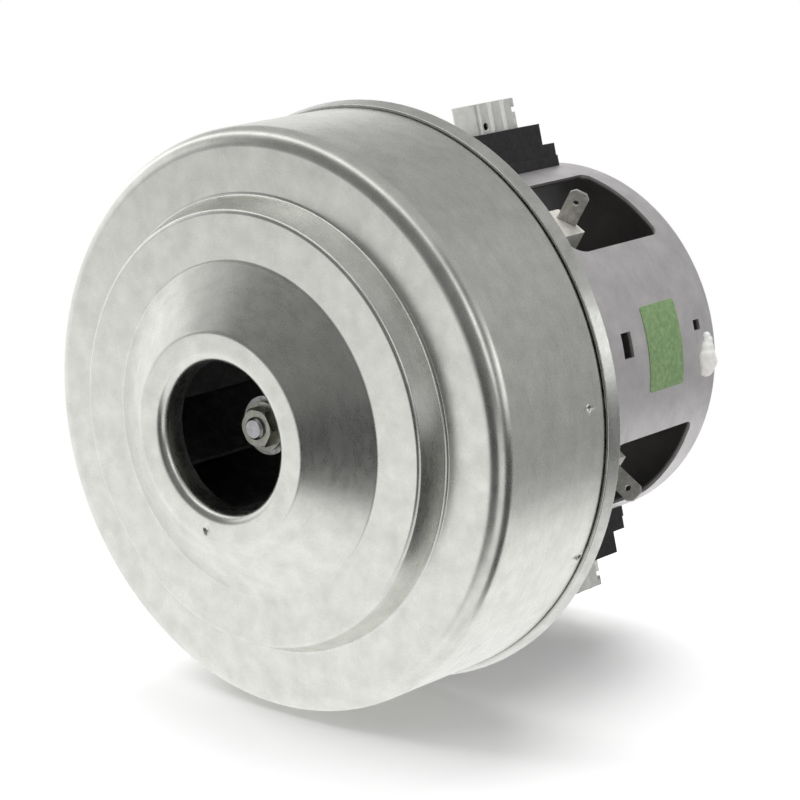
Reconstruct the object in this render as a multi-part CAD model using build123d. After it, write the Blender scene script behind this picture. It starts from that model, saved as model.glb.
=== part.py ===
from build123d import *
import math
import os

# Vacuum motor unit: a one-stage centrifugal fan under a pressed cover, driven by a brushed series motor in a can.
# Millimetres and degrees. The shaft runs along Y, the air inlet faces -Y and Z is up.
# The origin is the middle of the inlet throat, on the shaft axis. A station is a place along Y.
# A turn is an angle about the shaft axis from straight up, positive towards +X.

# Fits and small clearances
slip_fit = 0.05
glue_film = 0.01
cut_overrun = 1.0
seam_gap = 0.35
straight_angle = 180.0

# Fan cover, from the inlet throat out to the straight wall
throat_radius = 16.8
throat_length = 4.0
cover_sheet = 0.9
lip_bend = 2.4
lip_outer_radius = 23.6
lip_edge_bend = 2.0
cone_height = 8.9
cone_foot_bend = 1.5
plateau_width = 11.1
step_top_bend = 1.2
step_width = 2.5
step_height = 6.4
annulus_width = 14.6
step_foot_bend = 1.0
rim_bend = 4.3
cover_length = 51.2
punch_radius = 0.95
punch_depth = 0.4
punch_edge_distance = 5.6
punch_pair_angle = 31.0
punch_pair_shift = 4.2
punch_first_angle = 82.6
punch_pair_count = 3
lip_mark_radius = 0.8
lip_mark_angle = 190.6

# Motor bracket: a spigot inside the cover, a bead behind it and a spider that holds the front bearing
bead_width = 1.5
bead_length = 3.5
bracket_sheet = 1.6
spigot_length = 9.0
spigot_wall = 1.5
bearing_cup_wall = 1.5
bearing_cup_lip = 1.4
bearing_cup_lip_radius = 8.8
vent_inner_margin = 3.2
vent_outer_radius = 38.6
vent_count = 6
spider_arm_width = 7.0
vent_corner = 2.0
stiffener_count = 18
stiffener_width = 3.0
stiffener_height = 0.9
stiffener_start_share = 0.08
stiffener_end_share = 0.68
stiffener_corner_share = 0.38

# Motor can
can_radius = 43.5
can_to_cover_width = 22.2
can_sheet = 1.2
can_length = 72.95
can_flange_width = 3.5
can_flange_bend = 1.6
can_rear_bend = 2.2
boss_foot_bend = 1.6
boss_end_bend = 2.0
boss_end_hole_radius = 4.6
ear_reach = 6.7
ear_radius = 4.6
ear_count = 4
window_half_width = 12.5
window_length = 33.7
window_rear_margin = 7.6
window_front_corner = 6.0
window_rear_corner = 2.2
window_angle_from_label = 48.0
lock_slot_width = 6.0
lock_slot_length = 3.7
lock_slot_rear_distance = 35.7
index_slot_width = 2.5
index_slot_length = 2.4
index_slot_rear_distance = 7.9

# Brush axis: it leans from straight up, and the label strap is a quarter turn from it
brush_lean_angle = 13.9
label_strap_angle = straight_angle / 2 - brush_lean_angle
brush_angles = {"upper": -brush_lean_angle, "lower": straight_angle - brush_lean_angle}
brush_rear_distance = 18.1

# Carbon brush and its sheet-metal tube
brush_height = 24.0
brush_gap = 0.1
brush_side_gap = 0.3
brush_chamfer = 0.6
tube_width = 8.2
tube_length = 14.9
tube_wall = 0.6
tube_commutator_gap = 3.0
tube_reach = 17.0
tube_corner = 0.9
tube_hole_radius = 0.95
tube_hole_depth = 5.7
tube_hole_margin = 2.3
tube_bead_width = 1.7
tube_bead_height = 0.35
tube_bead_shares = (0.35, 0.68)
tube_notch_width = 1.2
tube_notch_depth = 2.2
tube_hole_in_can_margin = 0.5
spring_radius = 2.5
spring_wire = 0.7
spring_seat_gap = 0.1

# Brush holder
holder_half_width = 9.2
holder_step_extra = 0.5
holder_base_extra = 0.9
holder_front_overhang = 19.9
holder_top_height = 9.6
holder_step_height = 4.4
holder_base_height = 1.4
holder_rear_overhang = 9.25
holder_step_length = 3.9
holder_corner = 0.8
holder_lug_length = 9.0
holder_lug_half_width = 5.5
holder_lug_height = 2.9
holder_screw_radius = 1.45
holder_screw_depth = 5.0
holder_screw_head_radius = 2.8
holder_screw_head_height = 1.9

# Stator: laminated stack, end frames, two field coils and two spade terminals
stack_front_gap = 7.85
stack_to_brush = 22.3
stator_flat_depth = 5.3
air_gap = 0.5
yoke_width = 5.7
yoke_flat_width = 8.0
pole_core_half_width = 10.5
pole_shoe_thickness = 3.7
pole_shoe_half_angle = 62.0
end_frame_sheet = 1.5
end_frame_wall = 0.8
coil_side = 5.0
coil_clearance = 0.35
coil_shoe_gap = 0.5
coil_height = 5.9
coil_corner = 4.0
terminal_angle_from_label = 46.3
terminal_window_distance = 10.6
terminal_housing_width = 9.0
terminal_housing_length = 6.0
terminal_housing_depth = 0.9
terminal_housing_height = 5.8
terminal_housing_corner = 1.4
tab_width = 4.8
tab_sheet = 0.8
tab_reach = 6.5
tab_root_depth = 3.4
tab_tip_chamfer = 1.1
tab_hole_radius = 0.7
tab_hole_from_tip = 3.1
tab_twist_angle = 31.0

# Ball bearings, two alike
bearing_bore_radius = 4.0
bearing_outer_radius = 11.0
bearing_width = 7.0
inner_land_radius = 5.9
outer_land_radius = 9.1
ball_radius = 1.98
ball_pitch_radius = 7.5
ball_count = 7
cage_half_width = 2.45
cage_half_thickness = 0.6
shield_sheet = 0.35
shield_inset = 0.15
shield_gap = 0.3
rear_bearing_depth = 1.95
spring_washer_sheet = 0.4
spring_washer_inner = 8.6
spring_washer_dish = 0.7

# Shaft and the nut that clamps the fan
shaft_tip_overhang = 1.0
thread_radius = 2.5
thread_seat_depth = 0.4
shaft_shoulder_radius = 5.0
shaft_rear_margin = 0.3
shaft_tip_chamfer = 0.5
nut_across_flats = 8.0
nut_height = 2.4
nut_chamfer = 0.5
clamp_washer_radius = 5.5
clamp_washer_sheet = 1.0
clamp_washer_plate_distance = 19.4

# Armature and commutator
armature_radius = 21.8
armature_slot_count = 12
slot_mouth = 2.2
slot_mouth_depth = 1.6
slot_bottom_radius = 11.2
slot_top_half_width = 3.4
slot_bottom_half_width = 1.3
slot_liner = 0.25
winding_depth = 1.4
winding_inner_radius = 9.0
winding_front_overhang = 6.2
winding_rear_overhang = 7.8
winding_taper_length = 4.0
winding_shoulder = 2.2
commutator_radius = 11.6
commutator_length = 16.4
commutator_bar_depth = 3.2
commutator_bar_count = 24
bar_gap = 0.5
riser_length = 1.8
riser_height = 1.9
commutator_core_overhang = 1.0

# Fan wheel
wheel_margin = 12.0
wheel_plate_distance = 19.55
wheel_plate_sheet = 1.0
shroud_sheet = 0.8
eye_throat_gap = 0.9
eye_overlap = 0.6
eye_collar_length = 2.6
shroud_bend = 2.8
wheel_outlet_width = 12.5
blade_count = 9
blade_sheet = 0.9
blade_eye_margin = 1.9
blade_sweep_angle = 62.0
blade_bulge_share = 0.16
hub_sleeve_radius = 6.6
hub_flange_radius = 11.0
hub_flange_length = 2.4
hub_rivet_count = 6
hub_rivet_radius = 1.1
hub_rivet_pitch_radius = 9.0
hub_rivet_head_radius = 1.7
hub_rivet_head_height = 0.8

# Diffuser behind the wheel
diffuser_wheel_gap = 1.4
diffuser_plate_thickness = 2.0
diffuser_plate_margin = 3.0
diffuser_bore_radius = 9.6
diffuser_vane_count = 12
diffuser_vane_thickness = 1.4
diffuser_vane_front_margin = 3.0
diffuser_vane_clearance = 0.55
diffuser_vane_inner_radius = 25.0
diffuser_vane_sweep_angle = -52.0
diffuser_bulge_share = 0.14
diffuser_boss_radius = 3.4
diffuser_screw_margin = 6.0
diffuser_screw_count = 3
diffuser_screw_first_angle = 10.0

# Screws of the bracket and the can
screw_radius = 1.5
screw_head_radius = 3.1
screw_head_height = 2.1
screw_recess_width = 0.8
screw_recess_depth = 1.1
screw_recess_length = 3.4
can_screw_length = 6.0
diffuser_screw_length = 9.5

# Label and the dab of sealant on the can
label_half_angle = 13.4
label_rear_distance = 21.5
label_length = 13.3
label_sheet = 0.15
label_shift_angle = 3.3
label_corner = 0.8
dab_shift_angle = 10.1
dab_rear_distance = 4.85
dab_radius = 2.6
dab_spread = 3.1
dab_flat_share = 0.5

# Radii that follow from the sizes above
can_bore_radius = can_radius - can_sheet
cover_radius = can_radius + can_to_cover_width
step_foot_radius = cover_radius - annulus_width
plateau_radius = step_foot_radius - step_width
cone_foot_radius = plateau_radius - plateau_width
spigot_radius = cover_radius - cover_sheet - slip_fit
bead_radius = cover_radius + bead_width
ear_pitch_radius = can_radius + ear_reach
ear_outer_radius = ear_pitch_radius + ear_radius
can_flange_radius = can_radius + can_flange_width
stator_radius = can_bore_radius - slip_fit
stator_flat = can_bore_radius - stator_flat_depth
stator_bore_radius = armature_radius + air_gap
yoke_inner_radius = can_bore_radius - yoke_width
yoke_flat_inner = stator_flat - yoke_flat_width
pole_shoe_radius = stator_bore_radius + pole_shoe_thickness
coil_inner_radius = pole_shoe_radius + coil_shoe_gap
coil_outer_radius = coil_inner_radius + coil_height
terminal_housing_outer = can_bore_radius - terminal_housing_depth
terminal_housing_inner = terminal_housing_outer - terminal_housing_height
tab_tip_radius = can_radius + tab_reach
brush_width = tube_width - (tube_wall + brush_side_gap) * 2
brush_length = tube_length - (tube_wall + brush_side_gap) * 2
tube_inner_end = commutator_radius + tube_commutator_gap
tube_outer_end = can_radius + tube_reach
holder_top_radius = can_radius + holder_top_height
holder_step_radius = can_radius + holder_step_height
holder_base_radius = can_radius + holder_base_height
holder_lug_top = can_radius + holder_lug_height
slot_top_radius = armature_radius - slot_mouth_depth
winding_radius = armature_radius - winding_depth
commutator_core_radius = commutator_radius - commutator_bar_depth
wheel_radius = cover_radius - wheel_margin
eye_radius = throat_radius + cover_sheet + eye_throat_gap
blade_inner_radius = eye_radius + shroud_sheet + blade_eye_margin
diffuser_plate_radius = wheel_radius + diffuser_plate_margin
diffuser_vane_outer_radius = spigot_radius - spigot_wall - diffuser_vane_clearance
diffuser_screw_pitch_radius = diffuser_plate_radius - diffuser_screw_margin
bearing_cup_radius = bearing_outer_radius + bearing_cup_wall

# Stations that follow from the sizes above
lip_station = -(throat_length / 2 + lip_bend)
plateau_station = lip_station + cone_height
annulus_station = plateau_station + step_height
cover_rear = lip_station + cover_length
bead_front = cover_rear + seam_gap
bead_rear = bead_front + bead_length
plate_front = bead_rear - bracket_sheet
can_rear = bead_rear + can_length
window_rear = can_rear - window_rear_margin
window_front = window_rear - window_length
terminal_station = window_front + terminal_window_distance
lock_slot_station = can_rear - lock_slot_rear_distance
index_slot_station = can_rear - index_slot_rear_distance
label_station = can_rear - label_rear_distance
dab_station = can_rear - dab_rear_distance
brush_station = can_rear - brush_rear_distance
holder_front = brush_station - holder_front_overhang
commutator_front = brush_station - commutator_length / 2
stack_front = bead_rear + stack_front_gap
stack_rear = brush_station - stack_to_brush
stack_length = stack_rear - stack_front
stack_station = (stack_front + stack_rear) / 2
wheel_plate_front = plate_front - wheel_plate_distance
shroud_rear = wheel_plate_front - wheel_outlet_width
eye_front = throat_length / 2 - eye_overlap
diffuser_plate_front = wheel_plate_front + wheel_plate_sheet + diffuser_wheel_gap
diffuser_vane_front = shroud_rear + diffuser_vane_front_margin
clamp_washer_front = wheel_plate_front - clamp_washer_plate_distance
thread_end_station = clamp_washer_front + thread_seat_depth
shaft_tip_station = clamp_washer_front - nut_height - shaft_tip_overhang
rear_bearing_station = can_rear + rear_bearing_depth
front_bearing_rear = plate_front
front_bearing_station = front_bearing_rear - bearing_width / 2
front_bearing_front = front_bearing_rear - bearing_width
rear_bearing_front = rear_bearing_station - bearing_width / 2
rear_bearing_rear = rear_bearing_station + bearing_width / 2
boss_radius = bearing_outer_radius + slip_fit + can_sheet
boss_floor = rear_bearing_rear + spring_washer_sheet + spring_washer_dish
boss_rear = boss_floor + can_sheet
commutator_rear = commutator_front + commutator_length
wheel_plate_rear = wheel_plate_front + wheel_plate_sheet
holder_rear = brush_station + holder_rear_overhang


def turned(*points):
    """Solid turned about the shaft axis from (radius, station) points."""
    return revolve(make_face(Polyline(*points, close=True)), Axis.Y)


def ring(inner, outer, front, rear):
    """Plain ring or tube about the shaft axis."""
    return turned((inner, front), (outer, front), (outer, rear), (inner, rear))


def rod(radius, front, rear):
    """Plain cylinder on the shaft axis."""
    return turned((0, front), (radius, front), (radius, rear), (0, rear))


def pressed_sheet(points, bends, sheet):
    """Shell of one sheet thickness, from the outside line of its section and a radius at each corner."""
    line = FilletPolyline(*points, radius=bends)
    strip = offset(line, amount=sheet, side=Side.LEFT, closed=True)
    return revolve(make_face(strip.edges()), Axis.Y)


def placed(shape, turn):
    """Turns a shape about the shaft axis, from straight up towards +X."""
    return shape.rotate(Axis.Y, turn)


def repeated(shape, count, first_turn=0.0):
    """Copies of a shape spread evenly about the shaft axis."""
    return [placed(shape, first_turn + 360.0 / count * index) for index in range(count)]


def block(width, front, rear, inner, outer):
    """Box that stands straight up from the axis: width along X, stations along Y, radii along Z."""
    return Pos(0, (front + rear) / 2, (inner + outer) / 2) * Box(width, rear - front, outer - inner)


def upright_pin(radius, station, inner, outer):
    """Cylinder that stands straight up from the axis."""
    return Pos(0, station, (inner + outer) / 2) * Cylinder(radius, outer - inner)


def side_pin(radius, pitch_radius, front, rear):
    """Cylinder parallel to the shaft, straight above it."""
    return Pos(0, (front + rear) / 2, pitch_radius) * Rot(90, 0, 0) * Cylinder(radius, rear - front)


def section_plane(station):
    """Plane square to the shaft: its x is X and its y is Z, and it faces -Y."""
    return Plane(origin=(0, station, 0), x_dir=(1, 0, 0), z_dir=(0, -1, 0))


def extruded(sketch, front, rear):
    """Section drawn in X and Z, carried from one station to another."""
    return extrude(section_plane(rear) * sketch, amount=rear - front)


def polar(radius, turn):
    """Point of a section at a radius and a turn from straight up."""
    return (radius * math.sin(math.radians(turn)), radius * math.cos(math.radians(turn)))


def swept_vane(inner, outer, sweep, bulge_share, thickness, front, rear):
    """Curved vane of even thickness between two radii, carried along the shaft."""
    start = polar(inner, 0)
    end = polar(outer, sweep)
    chord = math.dist(start, end)
    along = ((end[0] - start[0]) / chord, (end[1] - start[1]) / chord)
    sag = chord * bulge_share * math.copysign(1, sweep)
    middle = ((start[0] + end[0]) / 2 - along[1] * sag, (start[1] + end[1]) / 2 + along[0] * sag)
    line = ThreePointArc(start, middle, end)
    strip = offset(line, amount=thickness, side=Side.LEFT, closed=True)
    return extruded(make_face(strip.edges()), front, rear)


def pan_screw(shank_radius, length, head_radius, head_height):
    """Pan head screw that points along -Z, with its seat at zero height and a crossed recess."""
    head = Pos(0, 0, head_height / 2) * Cylinder(head_radius, head_height)
    head = fillet(head.edges().group_by(Axis.Z)[-1], head_height / 2)
    shank = Pos(0, 0, -length / 2) * Cylinder(shank_radius, length)
    arm = Pos(0, 0, head_height) * Box(screw_recess_length, screw_recess_width, screw_recess_depth * 2)
    return head + shank - arm - arm.rotate(Axis.Z, 90)


def shaft_side_screw(length, pitch_radius, station):
    """Screw parallel to the shaft whose head sits at the station and faces +Y."""
    screw = pan_screw(screw_radius, length, screw_head_radius, screw_head_height)
    return Pos(0, station, pitch_radius) * Rot(-90, 0, 0) * screw


def fan_cover():
    outline = (
        (throat_radius, throat_length / 2),
        (throat_radius, lip_station),
        (lip_outer_radius, lip_station),
        (cone_foot_radius, plateau_station),
        (plateau_radius, plateau_station),
        (step_foot_radius, annulus_station),
        (cover_radius, annulus_station),
        (cover_radius, cover_rear),
    )
    bends = [lip_bend, lip_edge_bend, cone_foot_bend, step_top_bend, step_foot_bend, rim_bend]
    cover = pressed_sheet(outline, bends, cover_sheet)
    centre_height = cover_radius + punch_radius - punch_depth
    for pair in range(punch_pair_count):
        pair_turn = punch_first_angle + 360.0 / punch_pair_count * pair
        for index in range(2):
            station = cover_rear - punch_edge_distance + punch_pair_shift * index
            punch = Pos(0, station, centre_height) * Sphere(punch_radius)
            cover -= placed(punch, pair_turn + punch_pair_angle * index)
    mark_radius = (throat_radius + lip_bend + lip_outer_radius) / 2
    mark = Pos(0, lip_station - lip_mark_radius / 2, mark_radius) * Sphere(lip_mark_radius)
    return cover - placed(mark, lip_mark_angle)


def vent_sector():
    """One opening between two spider arms, drawn straight up."""
    inner = bearing_cup_radius + vent_inner_margin
    disc = Circle(vent_outer_radius) - Circle(inner)
    half_turn = straight_angle / vent_count
    reach = bead_radius
    wedge = make_face(Polyline((0, 0), polar(reach, -half_turn), polar(reach, half_turn), close=True))
    arm = Pos(0, reach / 2) * Rectangle(spider_arm_width, reach)
    opening = disc & wedge
    for side in (-1, 1):
        opening -= arm.rotate(Axis.Z, half_turn * side)
    return fillet(opening.vertices(), vent_corner)


def motor_bracket():
    cup_front = front_bearing_front - bearing_cup_lip
    bore = bearing_outer_radius + slip_fit
    section = (
        (bearing_cup_lip_radius, cup_front),
        (bearing_cup_radius, cup_front),
        (bearing_cup_radius, plate_front),
        (spigot_radius - spigot_wall, plate_front),
        (spigot_radius - spigot_wall, bead_front - spigot_length),
        (spigot_radius, bead_front - spigot_length),
        (spigot_radius, bead_front),
        (bead_radius, bead_front),
        (bead_radius, bead_rear),
        (bore, bead_rear),
        (bore, front_bearing_front),
        (bearing_cup_lip_radius, front_bearing_front),
    )
    bracket = turned(*section)
    bead_edges = bracket.edges().filter_by(GeomType.CIRCLE).sort_by(SortBy.RADIUS)[-2:]
    bracket = fillet(bead_edges, seam_gap)
    opening = extruded(vent_sector(), plate_front - cut_overrun, bead_rear + cut_overrun)
    for cut in repeated(opening, vent_count, straight_angle / vent_count):
        bracket -= cut
    rim_width = bead_radius - ear_outer_radius
    rib_length = rim_width * (stiffener_end_share - stiffener_start_share)
    rib_middle = ear_outer_radius + rim_width * (stiffener_end_share + stiffener_start_share) / 2
    rib = Pos(0, bead_rear, rib_middle) * Box(stiffener_width, stiffener_height * 2, rib_length)
    rib = fillet(rib.edges().filter_by(Axis.Y), min(stiffener_width, rib_length) * stiffener_corner_share)
    for copy in repeated(rib, stiffener_count):
        bracket += copy
    clearance = screw_radius + slip_fit
    can_hole = side_pin(clearance, ear_pitch_radius, plate_front - cut_overrun, bead_rear + cut_overrun)
    for cut in repeated(can_hole, ear_count, label_strap_angle + straight_angle / ear_count):
        bracket -= cut
    vane_hole = side_pin(clearance, diffuser_screw_pitch_radius, plate_front - cut_overrun, bead_rear + cut_overrun)
    for cut in repeated(vane_hole, diffuser_screw_count, diffuser_screw_first_angle):
        bracket -= cut
    return bracket


def window_cutter():
    """Rounded opening, drawn straight up: wide front corners and tight rear corners."""
    sheet = Rectangle(window_half_width * 2, window_length)
    corners = sheet.vertices().group_by(Axis.Y)
    sheet = fillet(corners[0], window_front_corner)
    corners = [v for v in sheet.vertices() if abs(v.Y - window_length / 2) < glue_film]
    sheet = fillet(corners, window_rear_corner)
    middle = (window_front + window_rear) / 2
    return extrude(Pos(0, middle, can_bore_radius / 2) * sheet, amount=can_radius)


def motor_can():
    outline = (
        (can_flange_radius, bead_rear + can_sheet),
        (can_radius, bead_rear + can_sheet),
        (can_radius, can_rear),
        (boss_radius, can_rear),
        (boss_radius, boss_rear),
        (boss_end_hole_radius, boss_rear),
    )
    bends = [can_flange_bend, can_rear_bend, boss_foot_bend, boss_end_bend]
    can = pressed_sheet(outline, bends, can_sheet)
    ear_inner = can_radius + can_sheet
    ear = side_pin(ear_radius, ear_pitch_radius, bead_rear, bead_rear + can_sheet)
    ear += block(ear_radius * 2, bead_rear, bead_rear + can_sheet, ear_inner, ear_pitch_radius)
    hole = side_pin(screw_radius + slip_fit, ear_pitch_radius, bead_rear - cut_overrun, bead_rear + can_sheet * 2)
    for copy in repeated(ear - hole, ear_count, label_strap_angle + straight_angle / ear_count):
        can += copy
    window = window_cutter()
    lock_slot = block(
        lock_slot_width,
        lock_slot_station - lock_slot_length / 2,
        lock_slot_station + lock_slot_length / 2,
        can_bore_radius - cut_overrun,
        can_radius + cut_overrun,
    )
    index_slot = block(
        index_slot_width,
        index_slot_station - index_slot_length / 2,
        index_slot_station + index_slot_length / 2,
        can_bore_radius - cut_overrun,
        can_radius + cut_overrun,
    )
    for strap_turn in (label_strap_angle, label_strap_angle + straight_angle):
        for side in (-1, 1):
            can -= placed(window, strap_turn + window_angle_from_label * side)
        can -= placed(lock_slot, strap_turn)
        can -= placed(index_slot, strap_turn)
    tube_hole = block(
        tube_width + tube_hole_in_can_margin * 2,
        brush_station - tube_length / 2 - tube_hole_in_can_margin,
        brush_station + tube_length / 2 + tube_hole_in_can_margin,
        can_bore_radius - can_sheet * 2,
        can_radius + cut_overrun,
    )
    screw_station = holder_front - holder_lug_length / 2
    pilot = upright_pin(holder_screw_radius + slip_fit, screw_station, can_bore_radius - can_sheet, can_radius + cut_overrun)
    for turn in brush_angles.values():
        can -= placed(tube_hole, turn)
        can -= placed(pilot, turn)
    return can


def stator_section():
    """Lamination outline with its two poles straight up and straight down."""
    outer = Circle(stator_radius) & Rectangle(stator_flat * 2, can_radius * 2)
    cavity = Circle(yoke_inner_radius) & Rectangle(yoke_flat_inner * 2, can_radius * 2)
    cores = Rectangle(pole_core_half_width * 2, yoke_inner_radius * 2)
    reach = can_radius * 2
    half = pole_shoe_half_angle
    shoe_wedge = make_face(Polyline((0, 0), polar(reach, -half), (0, reach), polar(reach, half), close=True))
    shoe = (Circle(pole_shoe_radius) & shoe_wedge) + (Circle(pole_shoe_radius) & shoe_wedge.rotate(Axis.Z, straight_angle))
    steel = outer - cavity + (cores & Circle(yoke_inner_radius + can_sheet)) + shoe
    return steel - Circle(stator_bore_radius)


def stator_core():
    return placed(extruded(stator_section(), stack_front, stack_rear), label_strap_angle)


def end_frame(front, rear):
    """Moulded frame that covers one end of the stack, a little inside its outline."""
    inside = Circle(can_bore_radius - end_frame_wall) & Rectangle((stator_flat - end_frame_wall) * 2, can_radius * 2)
    outline = stator_section() & inside
    return placed(extruded(outline, front, rear), label_strap_angle)


def stator_insulator_rear():
    frame = end_frame(stack_rear, stack_rear + end_frame_sheet)
    housing_rear = terminal_station + terminal_housing_length / 2
    housing = block(
        terminal_housing_width, stack_rear, housing_rear, terminal_housing_inner, terminal_housing_outer
    )
    housing = fillet(housing.edges().group_by(Axis.Y)[-1], terminal_housing_corner)
    for side in (-1, 1):
        slot = terminal_tab_blank(slip_fit, side)
        turn = label_strap_angle + terminal_angle_from_label * side
        frame += placed(housing & rod(can_bore_radius - end_frame_wall, stack_rear, housing_rear), turn)
        frame -= placed(slot, turn)
    return frame


def terminal_tab_blank(margin, side):
    """Spade terminal straight up, grown by a margin on its faces; the two are mirror images."""
    root = terminal_housing_outer - tab_root_depth - margin
    half = tab_width / 2 + margin
    tip = tab_tip_radius
    outline = (
        (-half, root),
        (half, root),
        (half, tip - tab_tip_chamfer),
        (half - tab_tip_chamfer, tip),
        (tab_tip_chamfer - half, tip),
        (-half, tip - tab_tip_chamfer),
    )
    half_sheet = tab_sheet / 2 + margin
    blade = extruded(make_face(Polyline(*outline, close=True)), -half_sheet, half_sheet)
    return Pos(0, terminal_station, 0) * blade.rotate(Axis.Z, -tab_twist_angle * side)


def terminal_tab(side):
    blade = terminal_tab_blank(0, side)
    hole = Rot(90, 0, 0) * Cylinder(tab_hole_radius, tab_width)
    hole = Pos(0, terminal_station, tab_tip_radius - tab_hole_from_tip) * hole.rotate(Axis.Z, -tab_twist_angle * side)
    return placed(blade - hole, label_strap_angle + terminal_angle_from_label * side)


def field_coil(turn):
    half_inner = pole_core_half_width + coil_clearance
    half_gap = stack_length / 2 + end_frame_sheet + coil_clearance
    outer = RectangleRounded((half_inner + coil_side) * 2, (half_gap + coil_side) * 2, coil_corner + coil_side / 2)
    inner = RectangleRounded(half_inner * 2, half_gap * 2, coil_clearance * 2)
    coil = extrude(outer - inner, amount=coil_outer_radius - coil_inner_radius)
    coil = Pos(0, stack_station, coil_inner_radius) * coil
    rim = coil.edges().group_by(Axis.Z)[-1]
    coil = fillet(rim, coil_side / 4)
    return placed(coil, turn)


def bearing_outer(station):
    half = bearing_width / 2
    race = ring(outer_land_radius, bearing_outer_radius, station - half, station + half)
    return race - ball_groove(station)


def bearing_inner(station):
    half = bearing_width / 2
    race = ring(bearing_bore_radius + slip_fit, inner_land_radius, station - half, station + half)
    return race - ball_groove(station)


def ball_groove(station):
    """Ring that the balls sweep, with running clearance."""
    section = Pos(ball_pitch_radius, station) * Circle(ball_radius + slip_fit)
    return revolve(section, Axis.Y)


def ball_places(station):
    """Ball centres on the pitch circle."""
    shape = Pos(0, station, ball_pitch_radius) * Sphere(ball_radius)
    return repeated(shape, ball_count)


def bearing_balls(station):
    return Compound(children=ball_places(station))


def bearing_cage(station):
    inner = ball_pitch_radius - cage_half_thickness
    outer = ball_pitch_radius + cage_half_thickness
    cage = ring(inner, outer, station - cage_half_width, station + cage_half_width)
    pocket = Pos(0, station, ball_pitch_radius) * Sphere(ball_radius + slip_fit)
    for cut in repeated(pocket, ball_count):
        cage -= cut
    return cage


def bearing_shields(station):
    face = bearing_width / 2 - shield_inset
    shields = []
    for side in (-1, 1):
        near = station + side * (face - shield_sheet)
        far = station + side * face
        shields.append(ring(inner_land_radius + shield_gap, outer_land_radius, min(near, far), max(near, far)))
    return Compound(children=shields)


def rear_spring_washer():
    """Dished washer between the rear bearing and the boss."""
    outer = bearing_outer_radius - slip_fit
    return turned(
        (outer, rear_bearing_rear),
        (outer, rear_bearing_rear + spring_washer_sheet),
        (spring_washer_inner, boss_floor),
        (spring_washer_inner, boss_floor - spring_washer_sheet),
    )


def shaft():
    rear = rear_bearing_rear + shaft_rear_margin
    section = (
        (0, shaft_tip_station),
        (thread_radius - shaft_tip_chamfer, shaft_tip_station),
        (thread_radius, shaft_tip_station + shaft_tip_chamfer),
        (thread_radius, thread_end_station),
        (bearing_bore_radius, thread_end_station),
        (bearing_bore_radius, front_bearing_rear),
        (shaft_shoulder_radius, front_bearing_rear),
        (shaft_shoulder_radius, rear_bearing_front),
        (bearing_bore_radius, rear_bearing_front),
        (bearing_bore_radius, rear),
        (0, rear),
    )
    return turned(*section)


def slot_section(margin):
    """One armature slot below its mouth, straight up, narrowed by a margin."""
    outline = (
        (-slot_bottom_half_width + margin, slot_bottom_radius + margin),
        (slot_bottom_half_width - margin, slot_bottom_radius + margin),
        (slot_top_half_width - margin, slot_top_radius - margin),
        (-slot_top_half_width + margin, slot_top_radius - margin),
    )
    return make_face(Polyline(*outline, close=True))


def armature_core():
    slot = slot_section(0)
    mouth = Pos(0, (slot_top_radius + armature_radius) / 2) * Rectangle(
        slot_mouth, (armature_radius - slot_top_radius) * 2
    )
    steel = Circle(armature_radius) - Circle(shaft_shoulder_radius + slip_fit)
    for index in range(armature_slot_count):
        steel -= (slot + mouth).rotate(Axis.Z, 360.0 / armature_slot_count * index)
    return extruded(steel, stack_front, stack_rear)


def armature_winding():
    front = stack_front - winding_front_overhang
    rear = stack_rear + winding_rear_overhang
    taper = rear + winding_taper_length
    front_end = turned(
        (winding_inner_radius, stack_front),
        (winding_inner_radius, front),
        (winding_radius - winding_shoulder, front),
        (winding_radius, front + winding_shoulder),
        (winding_radius, stack_front),
    )
    rear_end = turned(
        (winding_inner_radius, stack_rear),
        (winding_radius, stack_rear),
        (winding_radius, rear - winding_shoulder),
        (winding_radius - winding_shoulder, rear),
        (commutator_radius + riser_height / 2, taper),
        (winding_inner_radius, taper),
    )
    winding = front_end + rear_end
    bar = extruded(slot_section(slot_liner), stack_front - winding_shoulder, stack_rear + winding_shoulder)
    for copy in repeated(bar, armature_slot_count):
        winding += copy
    return winding


def commutator_bars():
    """Copper bars round the core, each with a riser for the winding."""
    sweep = 360.0 / commutator_bar_count
    wheel = ring(commutator_core_radius, commutator_radius, commutator_front, commutator_rear)
    wheel += ring(
        commutator_core_radius, commutator_radius + riser_height, commutator_front - riser_length, commutator_front
    )
    reach = commutator_radius * 2
    half = (reach * math.tan(math.radians(sweep / 2)))
    wedge = make_face(Polyline((0, 0), (-half, reach), (half, reach), close=True))
    front = commutator_front - riser_length
    bar = wheel & extruded(wedge, front, commutator_rear)
    slit = bar_gap / 2
    for side in (-1, 1):
        gap = block(slit * 2, front, commutator_rear, 0, reach)
        bar -= placed(gap, sweep / 2 * side)
    return Compound(children=repeated(bar, commutator_bar_count))


def commutator_core():
    front = commutator_front - riser_length - commutator_core_overhang
    rear = commutator_rear + commutator_core_overhang / 2
    return ring(shaft_shoulder_radius + slip_fit, commutator_core_radius - glue_film, front, rear)


def wheel_back_plate():
    plate = ring(bearing_bore_radius + slip_fit, wheel_radius, wheel_plate_front, wheel_plate_rear)
    hole = side_pin(hub_rivet_radius + glue_film, hub_rivet_pitch_radius, wheel_plate_front, wheel_plate_rear)
    for cut in repeated(hole, hub_rivet_count):
        plate -= cut
    return plate


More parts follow.
